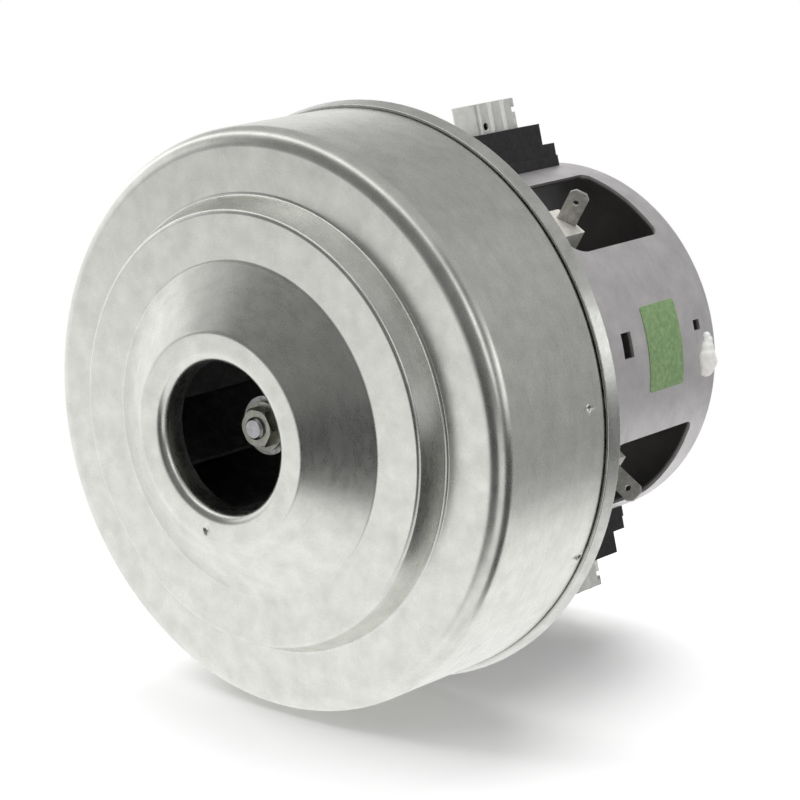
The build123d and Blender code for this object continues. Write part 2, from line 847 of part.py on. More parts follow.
def wheel_hub():
    front = clamp_washer_front + clamp_washer_sheet
    flange_front = wheel_plate_front - hub_flange_length
    bore = bearing_bore_radius + slip_fit
    hub = turned(
        (bore, front),
        (hub_sleeve_radius, front),
        (hub_sleeve_radius, flange_front),
        (hub_flange_radius, flange_front),
        (hub_flange_radius, wheel_plate_front),
        (bore, wheel_plate_front),
    )
    hole = side_pin(hub_rivet_radius + glue_film, hub_rivet_pitch_radius, flange_front, wheel_plate_front)
    for cut in repeated(hole, hub_rivet_count):
        hub -= cut
    return hub


def hub_rivets():
    flange_front = wheel_plate_front - hub_flange_length
    rivet = side_pin(hub_rivet_radius, hub_rivet_pitch_radius, flange_front, wheel_plate_rear)
    rivet += side_pin(
        hub_rivet_head_radius, hub_rivet_pitch_radius, flange_front - hub_rivet_head_height, flange_front
    )
    rivet += side_pin(
        hub_rivet_head_radius, hub_rivet_pitch_radius, wheel_plate_rear, wheel_plate_rear + hub_rivet_head_height
    )
    return Compound(children=repeated(rivet, hub_rivet_count))


def shroud_line():
    """Outside line of the front shroud: a collar round the eye, then a cone."""
    collar = eye_radius + shroud_sheet
    return ((collar, eye_front), (collar, eye_front + eye_collar_length), (wheel_radius, shroud_rear))


def wheel_front_shroud():
    return pressed_sheet(shroud_line(), [shroud_bend], shroud_sheet)


def wheel_blades():
    """Curved blades between the shroud and the back plate."""
    blade = swept_vane(
        blade_inner_radius,
        wheel_radius,
        blade_sweep_angle,
        blade_bulge_share,
        blade_sheet,
        eye_front,
        wheel_plate_front,
    )
    collar, front_corner, outer_corner = shroud_line()
    slope = (outer_corner[1] - front_corner[1]) / (outer_corner[0] - front_corner[0])
    clear = shroud_sheet * math.hypot(1, slope) + slip_fit
    inner = blade_inner_radius - blade_sheet
    outer = wheel_radius - blade_sheet
    space = turned(
        (inner, front_corner[1] + (inner - front_corner[0]) * slope + clear + shroud_bend * slope),
        (outer, front_corner[1] + (outer - front_corner[0]) * slope + clear),
        (outer, wheel_plate_front),
        (inner, wheel_plate_front),
    )
    return Compound(children=repeated(blade & space, blade_count))


def fan_spacer():
    """Sleeve that carries the clamp from the fan wheel to the front bearing."""
    return ring(
        bearing_bore_radius + slip_fit, inner_land_radius - slip_fit, wheel_plate_rear, front_bearing_front
    )


def clamp_washer():
    bore = thread_radius + slip_fit
    rear = clamp_washer_front + clamp_washer_sheet
    washer = ring(bore, clamp_washer_radius, clamp_washer_front, rear)
    seat = rod(bearing_bore_radius + slip_fit, thread_end_station, rear + cut_overrun)
    return washer - seat


def hub_nut():
    front = clamp_washer_front - nut_height
    corner_radius = nut_across_flats / 2 / math.cos(math.radians(30))
    prism = extruded(RegularPolygon(corner_radius, 6), front, clamp_washer_front)
    rounding = turned(
        (0, front),
        (corner_radius - nut_chamfer, front),
        (corner_radius, front + nut_chamfer / 2),
        (corner_radius, clamp_washer_front),
        (0, clamp_washer_front),
    )
    return (prism & rounding) - rod(thread_radius + slip_fit, front - cut_overrun, clamp_washer_front)


def diffuser():
    plate_rear = diffuser_plate_front + diffuser_plate_thickness
    body = ring(diffuser_bore_radius, diffuser_plate_radius, diffuser_plate_front, plate_rear)
    vane = swept_vane(
        diffuser_vane_inner_radius,
        diffuser_vane_outer_radius,
        diffuser_vane_sweep_angle,
        diffuser_bulge_share,
        diffuser_vane_thickness,
        diffuser_vane_front,
        plate_front,
    )
    vane -= rod(diffuser_plate_radius, diffuser_vane_front - cut_overrun, diffuser_plate_front)
    vane &= rod(diffuser_vane_outer_radius, diffuser_vane_front, plate_front)
    for copy in repeated(vane, diffuser_vane_count):
        body += copy
    boss = side_pin(diffuser_boss_radius, diffuser_screw_pitch_radius, plate_rear, plate_front)
    pilot = side_pin(
        screw_radius + slip_fit, diffuser_screw_pitch_radius, plate_rear + cut_overrun, plate_front + cut_overrun
    )
    for copy in repeated(boss, diffuser_screw_count, diffuser_screw_first_angle):
        body += copy
    for cut in repeated(pilot, diffuser_screw_count, diffuser_screw_first_angle):
        body -= cut
    return body


def diffuser_screws():
    screw = shaft_side_screw(diffuser_screw_length, diffuser_screw_pitch_radius, bead_rear)
    return Compound(children=repeated(screw, diffuser_screw_count, diffuser_screw_first_angle))


def can_screws():
    screw = shaft_side_screw(can_screw_length, ear_pitch_radius, bead_rear + can_sheet)
    return Compound(children=repeated(screw, ear_count, label_strap_angle + straight_angle / ear_count))


def brush_holder(turn):
    """Stepped moulding that sits on the can and carries the brush tube."""
    foot = can_radius / 2
    top = block(holder_half_width * 2, holder_front, holder_rear, foot, holder_top_radius)
    step_width = (holder_half_width + holder_step_extra) * 2
    step = block(step_width, holder_front, holder_rear + holder_step_length, foot, holder_step_radius)
    base_width = (holder_half_width + holder_base_extra) * 2
    base = block(base_width, holder_front, holder_rear + holder_step_length, foot, holder_base_radius)
    lug = block(
        holder_lug_half_width * 2, holder_front - holder_lug_length, holder_front, foot, holder_lug_top
    )
    top = fillet(top.edges().filter_by(Axis.Z), holder_corner)
    step = fillet(step.edges().filter_by(Axis.Z), holder_corner)
    base = fillet(base.edges().filter_by(Axis.Z), holder_corner)
    lug = fillet(lug.edges().filter_by(Axis.Z).group_by(Axis.Y)[0], holder_lug_half_width / 2)
    body = top + step + base + lug
    body -= rod(can_radius + glue_film, 0, can_rear + holder_step_length + cut_overrun)
    body -= block(
        tube_width + slip_fit * 2,
        brush_station - tube_length / 2 - slip_fit,
        brush_station + tube_length / 2 + slip_fit,
        0,
        tube_outer_end,
    )
    screw_station = holder_front - holder_lug_length / 2
    body -= upright_pin(holder_screw_radius + slip_fit, screw_station, 0, tube_outer_end)
    return placed(body, turn)


def holder_screws():
    screw = pan_screw(holder_screw_radius, holder_screw_depth, holder_screw_head_radius, holder_screw_head_height)
    screw = Pos(0, holder_front - holder_lug_length / 2, holder_lug_top) * screw
    return Compound(children=[placed(screw, turn) for turn in brush_angles.values()])


def brush_tube(turn):
    """Folded sheet tube with a closed outer end, pressed beads, a round hole and a notch."""
    front = brush_station - tube_length / 2
    rear = brush_station + tube_length / 2
    tube = block(tube_width, front, rear, tube_inner_end, tube_outer_end)
    tube = fillet(tube.edges().filter_by(Axis.Z), tube_corner)
    for share in tube_bead_shares:
        middle = front + tube_length * share
        bead = block(
            tube_width + tube_bead_height * 2,
            middle - tube_bead_width / 2,
            middle + tube_bead_width / 2,
            holder_top_radius,
            tube_outer_end,
        )
        tube += chamfer(bead.edges().filter_by(Axis.Z), tube_bead_height * (1 - slip_fit))
    tube -= block(
        tube_width - tube_wall * 2, front + tube_wall, rear - tube_wall, 0, tube_outer_end - tube_wall
    )
    hole = Rot(0, 90, 0) * Cylinder(tube_hole_radius, tube_width * 2)
    tube -= Pos(0, front + tube_hole_margin, tube_outer_end - tube_hole_depth) * hole
    notch_top = tube_outer_end - tube_notch_depth
    tube -= block(
        tube_width * 2, rear - tube_wall - tube_notch_width, rear + cut_overrun, notch_top - tube_notch_width, notch_top
    )
    return placed(tube, turn)


def carbon_brush(turn):
    """Carbon block whose inner end is hollowed to ride on the commutator."""
    inner = commutator_radius - riser_height
    outer = commutator_radius + brush_gap + brush_height
    body = block(
        brush_width, brush_station - brush_length / 2, brush_station + brush_length / 2, inner, outer
    )
    body = chamfer(body.edges().group_by(Axis.Z)[-1], brush_chamfer)
    front = commutator_front - riser_length
    return placed(body - rod(commutator_radius + brush_gap, front, commutator_rear + riser_length), turn)


def brush_spring(turn):
    """Compressed coil spring between the brush and the closed end of its tube."""
    inner_end = commutator_radius + brush_gap + brush_height + spring_seat_gap
    outer_end = tube_outer_end - tube_wall - spring_seat_gap
    spring = upright_pin(spring_radius, brush_station, inner_end, outer_end)
    spring -= upright_pin(spring_radius - spring_wire, brush_station, inner_end - cut_overrun, outer_end + cut_overrun)
    return placed(spring, turn)


def label():
    """Bare sticker wrapped on the label strap."""
    inner = can_radius + glue_film
    shell = ring(inner, inner + label_sheet, label_station - label_length / 2, label_station + label_length / 2)
    width = 2 * can_radius * math.sin(math.radians(label_half_angle))
    patch = RectangleRounded(width, label_length, label_corner)
    cutter = extrude(Pos(0, label_station, can_radius / 2) * patch, amount=can_radius)
    return placed(shell & cutter, label_strap_angle + label_shift_angle)


def sealant_dab():
    """Flat lump of sealant beside the label, at the can's rear edge."""
    lump = None
    for index, share in enumerate((1.0, 0.8, 0.9)):
        side = (index - 1) * dab_spread
        ball = scale(Sphere(dab_radius * share), by=(1, dab_flat_share * 1.5, dab_flat_share))
        height = math.sqrt(can_radius**2 - side**2)
        ball = Pos(side, dab_station - dab_radius * (1 - share), height) * ball
        lump = ball if lump is None else lump + ball
    lump -= rod(can_radius + glue_film, 0, can_rear - can_rear_bend)
    lump -= rod(can_radius + glue_film - can_rear_bend, 0, boss_rear)
    lump -= rod(can_radius + glue_film, 0, boss_rear)
    return placed(lump, label_strap_angle + dab_shift_angle)


def build_nodes():
    """Every piece by the name of its node."""
    nodes = {
        "fan_cover": fan_cover(),
        "motor_bracket": motor_bracket(),
        "diffuser": diffuser(),
        "diffuser_screws": diffuser_screws(),
        "motor_can": motor_can(),
        "can_screws": can_screws(),
        "stator_core": stator_core(),
        "stator_insulator_front": end_frame(stack_front - end_frame_sheet, stack_front),
        "stator_insulator_rear": stator_insulator_rear(),
        "field_coil_a": field_coil(label_strap_angle),
        "field_coil_b": field_coil(label_strap_angle + straight_angle),
        "terminal_tab_upper": terminal_tab(-1),
        "terminal_tab_lower": terminal_tab(1),
        "rear_spring_washer": rear_spring_washer(),
        "holder_screws": holder_screws(),
        "label": label(),
        "sealant_dab": sealant_dab(),
        "shaft": shaft(),
        "armature_core": armature_core(),
        "armature_winding": armature_winding(),
        "commutator_bars": commutator_bars(),
        "commutator_core": commutator_core(),
        "fan_spacer": fan_spacer(),
        "wheel_back_plate": wheel_back_plate(),
        "wheel_hub": wheel_hub(),
        "hub_rivets": hub_rivets(),
        "wheel_blades": wheel_blades(),
        "wheel_front_shroud": wheel_front_shroud(),
        "clamp_washer": clamp_washer(),
        "hub_nut": hub_nut(),
    }
    for end, station in (("front", front_bearing_station), ("rear", rear_bearing_station)):
        nodes[end + "_bearing_outer"] = bearing_outer(station)
        nodes[end + "_bearing_inner"] = bearing_inner(station)
        nodes[end + "_bearing_balls"] = bearing_balls(station)
        nodes[end + "_bearing_cage"] = bearing_cage(station)
        nodes[end + "_bearing_shields"] = bearing_shields(station)
    for side, turn in brush_angles.items():
        nodes["brush_holder_" + side] = brush_holder(turn)
        nodes["brush_tube_" + side] = brush_tube(turn)
        nodes["carbon_brush_" + side] = carbon_brush(turn)
        nodes["brush_spring_" + side] = brush_spring(turn)
    return nodes


os.makedirs("parts", exist_ok=True)
for name, shape in build_nodes().items():
    export_step(shape, "parts/" + name + ".step")
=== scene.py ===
import random
from math import asin, atan2, cos, degrees, exp, pi, radians, sin, tan

import bmesh
import bpy
from mathutils import Matrix, Vector, noise


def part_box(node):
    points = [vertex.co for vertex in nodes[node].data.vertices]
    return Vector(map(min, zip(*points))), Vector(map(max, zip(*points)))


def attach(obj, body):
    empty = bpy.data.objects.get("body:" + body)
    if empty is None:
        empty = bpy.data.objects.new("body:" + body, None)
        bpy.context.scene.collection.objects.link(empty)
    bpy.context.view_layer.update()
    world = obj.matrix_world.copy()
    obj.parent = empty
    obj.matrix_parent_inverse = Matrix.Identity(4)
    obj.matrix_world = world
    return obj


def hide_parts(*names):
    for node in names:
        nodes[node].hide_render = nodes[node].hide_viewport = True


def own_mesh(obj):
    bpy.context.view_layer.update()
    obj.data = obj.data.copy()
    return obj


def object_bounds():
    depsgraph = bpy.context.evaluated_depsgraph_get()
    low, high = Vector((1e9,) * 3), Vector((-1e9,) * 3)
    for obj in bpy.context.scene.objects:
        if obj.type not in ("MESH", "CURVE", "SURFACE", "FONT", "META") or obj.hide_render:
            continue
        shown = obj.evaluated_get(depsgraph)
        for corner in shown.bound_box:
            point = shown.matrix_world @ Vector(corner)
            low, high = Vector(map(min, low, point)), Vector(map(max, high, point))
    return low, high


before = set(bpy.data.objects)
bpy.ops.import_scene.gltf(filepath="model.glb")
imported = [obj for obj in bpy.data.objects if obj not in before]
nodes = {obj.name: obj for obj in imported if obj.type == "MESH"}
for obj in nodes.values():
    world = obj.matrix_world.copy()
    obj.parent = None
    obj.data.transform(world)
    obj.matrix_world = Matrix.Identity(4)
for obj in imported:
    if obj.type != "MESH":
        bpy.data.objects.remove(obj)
cad_low, cad_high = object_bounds()

# Lengths are in metres, in the frame of the CAD model: the shaft lies along Y and the inlet faces -Y.
# A turn is an angle round the shaft from straight up towards +X, and a station is a place along it.
mm = 0.001
full_turn = 2 * pi
merge_distance = 0.001 * mm
flat_angle = radians(0.5)
sharp_angle = radians(40)
bevel_segments = 3

# The two brushes stand on a line that leans back from straight up, and the label is square to it.
brush_lean = radians(-13.9)
brush_turns = {"upper": brush_lean, "lower": brush_lean + pi}
label_turn = brush_lean + pi / 2


def clamped(value):
    """The value kept between 0 and 1."""
    return min(max(value, 0), 1)


def radial(turn):
    """Unit vector away from the shaft at a turn."""
    return Vector((sin(turn), 0, cos(turn)))


def tangent(turn):
    """Unit vector round the shaft at a turn."""
    return Vector((cos(turn), 0, -sin(turn)))


def along_shaft(station):
    """The point of the shaft's axis at a station."""
    return Vector((0, station, 0))


def around_shaft(turn, radius, station):
    """The point at a turn, a distance from the shaft and a station."""
    return radial(turn) * radius + along_shaft(station)


def off_axis(point):
    """The part of a point's place that is square to the shaft."""
    return Vector((point.x, 0, point.z))


def ends_along_shaft(name):
    """Front and rear station of a CAD node."""
    low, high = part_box(name)
    return low.y, high.y


def even_turns(count):
    """Angles that share out a full turn."""
    return [full_turn * step / count for step in range(count)]


def srgb(red, green, blue):
    """Linear colour of a red, green and blue read on screen from 0 to 255."""
    channels = [value / 255 for value in (red, green, blue)]
    linear = [c / 12.92 if c <= 0.04045 else ((c + 0.055) / 1.055) ** 2.4 for c in channels]
    return (*linear, 1.0)


def grey(level):
    """Linear grey between 0 and 1."""
    return (level, level, level, 1.0)


def new_material(name):
    made = bpy.data.materials.new(name)
    made.use_nodes = True
    return made


def set_inputs(node, values):
    """Gives the inputs of a shader node their values by name."""
    for name, value in values.items():
        node.inputs[name].default_value = value


def larger(tree, first, second):
    """The larger of two values."""
    node = tree.nodes.new("ShaderNodeMath")
    node.operation = "MAXIMUM"
    tree.links.new(first, node.inputs[0])
    tree.links.new(second, node.inputs[1])
    return node.outputs["Value"]


def length_of(tree, vector):
    """The length of a vector."""
    node = tree.nodes.new("ShaderNodeVectorMath")
    node.operation = "LENGTH"
    tree.links.new(vector, node.inputs[0])
    return node.outputs["Value"]


def ranged(tree, value, start, end, low, high):
    """The stretch of a value from start to end, spread between low and high."""
    node = tree.nodes.new("ShaderNodeMapRange")
    set_inputs(node, {"From Min": start, "From Max": end, "To Min": low, "To Max": high})
    tree.links.new(value, node.inputs["Value"])
    return node.outputs["Result"]


# Grains draw a texture out along each axis by one over the number: across, along the shaft and upwards.
even_grain = (1.0, 1.0, 1.0)
ring_grain = (0.12, 1.0, 0.12)
side_grain = (0.25, 1.0, 0.25)
turning_grain = (0.06, 1.0, 0.06)
lamination_grain = (0.02, 1.0, 0.02)
fibre_grain = (1.0, 0.4, 1.0)
rolling_grain = (0.15, 1.0, 1.0)
noise_roughness = 0.55


class Finish:
    """A procedural material whose textures are measured in the model's own metres."""

    def __init__(self, name, metallic=0.0):
        self.material = new_material(name + "_finish")
        self.tree = self.material.node_tree
        self.join = self.tree.links.new
        self.surface = self.tree.nodes["Principled BSDF"]
        self.surface.inputs["Metallic"].default_value = metallic
        self.place = self.tree.nodes.new("ShaderNodeTexCoord").outputs["Object"]
        self.normal = None

    def link(self, output, name):
        self.join(output, self.surface.inputs[name])

    def noise(self, size, detail=4, grain=even_grain):
        """Noise with features of about the given size."""
        mapping = self.tree.nodes.new("ShaderNodeMapping")
        mapping.inputs["Scale"].default_value = grain
        self.join(self.place, mapping.inputs["Vector"])
        texture = self.tree.nodes.new("ShaderNodeTexNoise")
        set_inputs(texture, {"Scale": 1 / size, "Detail": detail, "Roughness": noise_roughness})
        self.join(mapping.outputs["Vector"], texture.inputs["Vector"])
        return texture.outputs["Fac"]

    def ramp(self, value, *stops):
        """Colours at places along a value, each stop a place and a colour."""
        node = self.tree.nodes.new("ShaderNodeValToRGB")
        elements = node.color_ramp.elements
        while len(elements) < len(stops):
            elements.new(0.5)
        for element, (place, colour) in zip(elements, stops):
            element.position = place
            element.color = colour
        self.join(value, node.inputs["Fac"])
        return node.outputs["Color"]

    def blended(self, mode, share, first, second):
        """The second colour laid over the first by a share between 0 and 1."""
        node = self.tree.nodes.new("ShaderNodeMix")
        node.data_type = "RGBA"
        node.blend_type = mode
        node.inputs["Factor"].default_value = share
        self.join(first, node.inputs["A"])
        self.join(second, node.inputs["B"])
        return node.outputs["Result"]

    def gloss(self, value, low, high, start=0.35, end=0.65):
        """Roughness that wanders from low to high as the value goes from start to end."""
        self.link(ranged(self.tree, value, start, end, low, high), "Roughness")

    def bump(self, height, depth, strength):
        """Relief added to what the surface already has."""
        node = self.tree.nodes.new("ShaderNodeBump")
        set_inputs(node, {"Distance": depth, "Strength": strength})
        self.join(height, node.inputs["Height"])
        if self.normal:
            self.join(self.normal, node.inputs["Normal"])
        self.normal = node.outputs["Normal"]
        self.link(self.normal, "Normal")

    def painted_shade_inside(self, colour, radius, station, fade, share):
        """Painted shade: the colour times a share where the surface lies within the radius and in front of
        the station.
        """
        flat = self.tree.nodes.new("ShaderNodeMapping")
        flat.inputs["Scale"].default_value = (1.0, 0.0, 1.0)
        self.join(self.place, flat.inputs["Vector"])
        apart = self.tree.nodes.new("ShaderNodeSeparateXYZ")
        self.join(self.place, apart.inputs["Vector"])
        from_shaft = length_of(self.tree, flat.outputs["Vector"])
        outside = ranged(self.tree, from_shaft, radius - fade, radius, share, 1.0)
        behind = ranged(self.tree, apart.outputs["Y"], station - fade, station, share, 1.0)
        shade = self.ramp(larger(self.tree, outside, behind), (0.0, grey(0.0)), (1.0, grey(1.0)))
        return self.blended("MULTIPLY", 1.0, colour, shade)


def sheet_metal(name, light, dark, roughness, cloud_size, grain=even_grain, metallic=1.0, inside=None):
    """Plated or rolled sheet: cloudy colour, fine speckle, drawn-out scratches and uneven gloss, and painted
    shade inside if asked.
    """
    made = Finish(name, metallic)
    clouds = made.ramp(made.noise(cloud_size), (0.3, srgb(*dark)), (0.7, srgb(*light)))
    speckle = made.ramp(made.noise(0.35 * mm, detail=2), (0.3, grey(0.88)), (0.56, grey(1.0)))
    wear = made.ramp(made.noise(1.6 * mm, detail=5, grain=grain), (0.26, grey(0.86)), (0.46, grey(1.0)))
    worn_and_shaded = made.blended("MULTIPLY", 0.5, made.blended("MULTIPLY", 0.5, clouds, speckle), wear)
    # Painted shade: darker where the surface lies within a radius and in front of a station.
    if inside:
        worn_and_shaded = made.painted_shade_inside(worn_and_shaded, **inside)
    made.link(worn_and_shaded, "Base Color")
    made.gloss(made.noise(0.9 * mm, grain=grain), roughness, roughness + 0.06, start=0.3, end=0.7)
    made.bump(made.noise(0.3 * mm, detail=3, grain=grain), depth=0.004 * mm, strength=0.6)
    made.bump(made.noise(7 * mm, detail=2), depth=0.03 * mm, strength=0.35)
    return made.material


def turned_metal(name, light, dark, roughness):
    """Machined steel or copper with fine rings round the shaft."""
    made = Finish(name, metallic=1.0)
    rings = made.noise(0.5 * mm, grain=turning_grain)
    clouds = made.ramp(made.noise(2.2 * mm), (0.3, srgb(*dark)), (0.7, srgb(*light)))
    grooves = made.ramp(rings, (0.3, grey(0.7)), (0.6, grey(1.0)))
    made.link(made.blended("MULTIPLY", 0.5, clouds, grooves), "Base Color")
    made.gloss(rings, roughness - 0.06, roughness + 0.1)
    made.bump(rings, depth=0.006 * mm, strength=0.7)
    return made.material


def moulding(name, light, dark, roughness):
    """Moulded plastic: spark-eroded grain, paler rubbed places and a little dust."""
    made = Finish(name)
    base = made.ramp(made.noise(3 * mm), (0.3, srgb(*dark)), (0.75, srgb(*light)))
    dust = made.ramp(made.noise(0.5 * mm, detail=6), (0.55, grey(0.0)), (0.8, grey(0.12)))
    made.link(made.blended("SCREEN", 0.35, base, dust), "Base Color")
    made.gloss(made.noise(1.2 * mm), roughness - 0.08, roughness + 0.12)
    made.bump(made.noise(0.22 * mm, detail=2), depth=0.02 * mm, strength=0.8)
    made.surface.inputs["Specular IOR Level"].default_value = 0.4
    return made.material


def stacked_laminations():
    """Punched sheets half a millimetre thick, seen as fine lines across the shaft."""
    made = Finish("lamination_steel", metallic=1.0)
    sheet_lines = made.noise(0.5 * mm, detail=1, grain=lamination_grain)
    base = made.ramp(made.noise(1.8 * mm, detail=5), (0.3, srgb(82, 78, 76)), (0.7, srgb(132, 128, 124)))
    gaps = made.ramp(sheet_lines, (0.4, grey(0.45)), (0.55, grey(1.0)))
    made.link(made.blended("MULTIPLY", 0.7, base, gaps), "Base Color")
    made.gloss(made.noise(0.8 * mm), 0.42, 0.62)
    made.bump(sheet_lines, depth=0.06 * mm, strength=0.9)
    return made.material


def enamelled_wire():
    """Copper under clear red-brown varnish that has run and pooled between the turns."""
    made = Finish("copper_wire", metallic=0.85)
    varnish = made.ramp(made.noise(1.4 * mm, detail=5), (0.28, srgb(96, 44, 20)), (0.55, srgb(168, 88, 44)),
                        (0.78, srgb(205, 122, 70)))
    made.link(varnish, "Base Color")
    made.gloss(made.noise(0.7 * mm), 0.24, 0.46)
    made.bump(made.noise(0.4 * mm, detail=3), depth=0.02 * mm, strength=0.6)
    set_inputs(made.surface, {"Coat Weight": 0.5, "Coat Roughness": 0.18})
    return made.material


def green_paper():
    """Soft green paper label: pulpy fibre, paler scuffs and slightly darker damp spots, nothing printed."""
    made = Finish("label_film")
    paper = made.ramp(made.noise(1.1 * mm, detail=6), (0.3, srgb(118, 148, 100)),
                      (0.55, srgb(136, 166, 116)), (0.8, srgb(158, 184, 138)))
    fibre = made.ramp(made.noise(0.18 * mm, detail=3, grain=fibre_grain), (0.35, grey(0.82)),
                      (0.6, grey(1.0)))
    made.link(made.blended("MULTIPLY", 0.6, paper, fibre), "Base Color")
    made.gloss(made.noise(0.9 * mm), 0.5, 0.72)
    made.bump(made.noise(0.25 * mm), depth=0.02 * mm, strength=0.7)
    return made.material


def white_silicone():
    """Silicone that lets a little light through, with a lumpy skin."""
    made = Finish("white_sealant")
    skin = made.ramp(made.noise(1.6 * mm, detail=5), (0.3, srgb(236, 234, 228)), (0.7, srgb(252, 251, 248)))
    made.link(skin, "Base Color")
    made.gloss(made.noise(0.8 * mm, detail=3), 0.3, 0.5)
    set_inputs(made.surface, {"Subsurface Weight": 0.25, "Subsurface Scale": 1.0,
                              "Subsurface Radius": (1.2 * mm, 0.9 * mm, 0.7 * mm)})
    made.bump(made.noise(0.9 * mm), depth=0.08 * mm, strength=0.7)
    return made.material


def brush_carbon():
    """Pressed electrographite with bright flecks and fine sliding marks."""
    made = Finish("carbon", metallic=0.25)
    flecks = made.ramp(made.noise(0.3 * mm, detail=5), (0.4, srgb(30, 30, 32)), (0.62, srgb(54, 54, 56)),
                       (0.74, srgb(120, 112, 104)))
    made.link(flecks, "Base Color")
    made.gloss(made.noise(0.5 * mm), 0.42, 0.66)
    made.bump(made.noise(0.2 * mm), depth=0.02 * mm, strength=0.8)
    return made.material


def wheel_alloy():
    """Bare pressed aluminium with rolled streaks and a little grey dust from use."""
    made = Finish("wheel_aluminium", metallic=1.0)
    base = made.ramp(made.noise(2.6 * mm, detail=5), (0.3, grey(0.42)), (0.7, grey(0.6)))
    streaks = made.ramp(made.noise(0.8 * mm, grain=rolling_grain), (0.3, grey(0.7)), (0.6, grey(1.0)))
    made.link(made.blended("MULTIPLY", 0.5, base, streaks), "Base Color")
    made.gloss(made.noise(1 * mm), 0.34, 0.52)
    made.bump(made.noise(0.4 * mm, detail=3), depth=0.01 * mm, strength=0.7)
    return made.material


# Looks of sheet, turned and moulded materials. Light and dark tones are read on screen from 0 to 255.
sheet_looks = {
    "cover_sheet": dict(light=(236, 237, 231), dark=(220, 221, 215), roughness=0.25,
                        cloud_size=5 * mm, grain=side_grain),
    # The bracket's inside darkening is painted shade in the groove where the cover meets the ring.
    "cast_bracket": dict(light=(228, 229, 224), dark=(206, 207, 202), roughness=0.26, cloud_size=4 * mm,
                         inside=dict(radius=65.9 * mm, station=49.5 * mm, fade=0.3 * mm, share=0.3)),
    # The can's inside darkening is painted shade on the inner surfaces of the can.
    "can_sheet": dict(light=(226, 223, 223), dark=(206, 203, 204), roughness=0.44, cloud_size=6 * mm,
                      grain=ring_grain, metallic=0.85,
                      inside=dict(radius=43 * mm, station=123.2 * mm, fade=0.5 * mm, share=0.24)),
    "zinc_steel": dict(light=(176, 176, 168), dark=(138, 138, 128), roughness=0.28, cloud_size=1.5 * mm),
    "spring_steel": dict(light=(178, 178, 180), dark=(138, 138, 142), roughness=0.26, cloud_size=1.5 * mm),
    "tinned_brass": dict(light=(247, 247, 243), dark=(232, 232, 228), roughness=0.34,
                         cloud_size=2 * mm, metallic=0.7),
    "dull_tin": dict(light=(196, 195, 190), dark=(158, 157, 152), roughness=0.36,
                     cloud_size=1.2 * mm, metallic=0.7),
    "pressed_steel": dict(light=(188, 188, 186), dark=(156, 156, 154), roughness=0.3, cloud_size=2 * mm),
}
turned_looks = {
    "shaft_steel": dict(light=(200, 200, 202), dark=(158, 158, 160), roughness=0.24),
    "bearing_steel": dict(light=(212, 212, 214), dark=(176, 176, 178), roughness=0.18),
    "commutator_copper": dict(light=(206, 132, 92), dark=(150, 84, 54), roughness=0.28),
}
moulded_looks = {
    "black_moulding": dict(light=(40, 40, 42), dark=(22, 22, 24), roughness=0.42),
    "brown_moulding": dict(light=(92, 60, 40), dark=(66, 42, 28), roughness=0.45),
    "pale_moulding": dict(light=(202, 200, 192), dark=(172, 170, 162), roughness=0.45),
}
materials = {
    "lamination_steel": stacked_laminations(),
    "copper_wire": enamelled_wire(),
    "label_film": green_paper(),
    "white_sealant": white_silicone(),
    "carbon": brush_carbon(),
    "wheel_aluminium": wheel_alloy(),
}
for make, looks in ((sheet_metal, sheet_looks), (turned_metal, turned_looks), (moulding, moulded_looks)):
    materials.update({name: make(name, **look) for name, look in looks.items()})

# Nodes that don't take the finish named like their slot.
own_finishes = {"terminal_tab_upper": "dull_tin", "terminal_tab_lower": "dull_tin"}


def finish_nodes():
    """Each CAD node takes the finish of the slot that it came with, or its own."""
    for name, piece in nodes.items():
        slot_name = piece.data.materials[0].name
        piece.data.materials[0] = materials[own_finishes.get(name, slot_name)]


def new_object(name, data):
    """An object of the scene with the given mesh, light or camera."""
    piece = bpy.data.objects.new(name, data)
    bpy.context.scene.collection.objects.link(piece)
    return piece


def mesh_object(name, build, outwards=True):
    """A new object with the mesh that the build function makes, its faces turned outwards if asked."""
    mesh = bpy.data.meshes.new(name)
    work = bmesh.new()
    build(work)
    if outwards:
        bmesh.ops.recalc_face_normals(work, faces=work.faces)
    work.to_mesh(mesh)
    work.free()
    return new_object(name, mesh)


def shade_smooth(piece):
    for face in piece.data.polygons:
        face.use_smooth = True


def mesh_piece(name, build, slot_name, body_name="motor_body"):
    """A smooth piece of the object, made by the build function and riding on a body of the model."""
    piece = mesh_object(name, build)
    shade_smooth(piece)
    piece.data.materials.append(materials[slot_name])
    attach(piece, body_name)
    return piece


def even_normals(piece):
    """Flat faces shade flat, and only the bends between them shade round."""
    piece.modifiers.new("even_normals", "WEIGHTED_NORMAL").weight = 100


def rounded_edges(piece, width):
    """Welds a CAD mesh and rounds its sharp edges."""
    weld = piece.modifiers.new("weld", "WELD")
    weld.merge_threshold = merge_distance
    flat = piece.modifiers.new("flat_faces", "DECIMATE")
    flat.decimate_type = "DISSOLVE"
    flat.angle_limit = flat_angle
    bevel = piece.modifiers.new("rounded_edges", "BEVEL")
    bevel.offset_type = "ABSOLUTE"
    bevel.width = width
    bevel.segments = bevel_segments
    bevel.limit_method = "ANGLE"
    bevel.angle_limit = sharp_angle
    bevel.use_clamp_overlap = False
    even_normals(piece)


def join_rings(work, first, second, shift=0):
    """Faces between two rings of as many vertices, the second ring taken some places further on."""
    count = len(first)
    for index in range(count):
        after = (index + 1) % count
        work.faces.new((first[index], first[after], second[(after + shift) % count],
                        second[(index + shift) % count]))


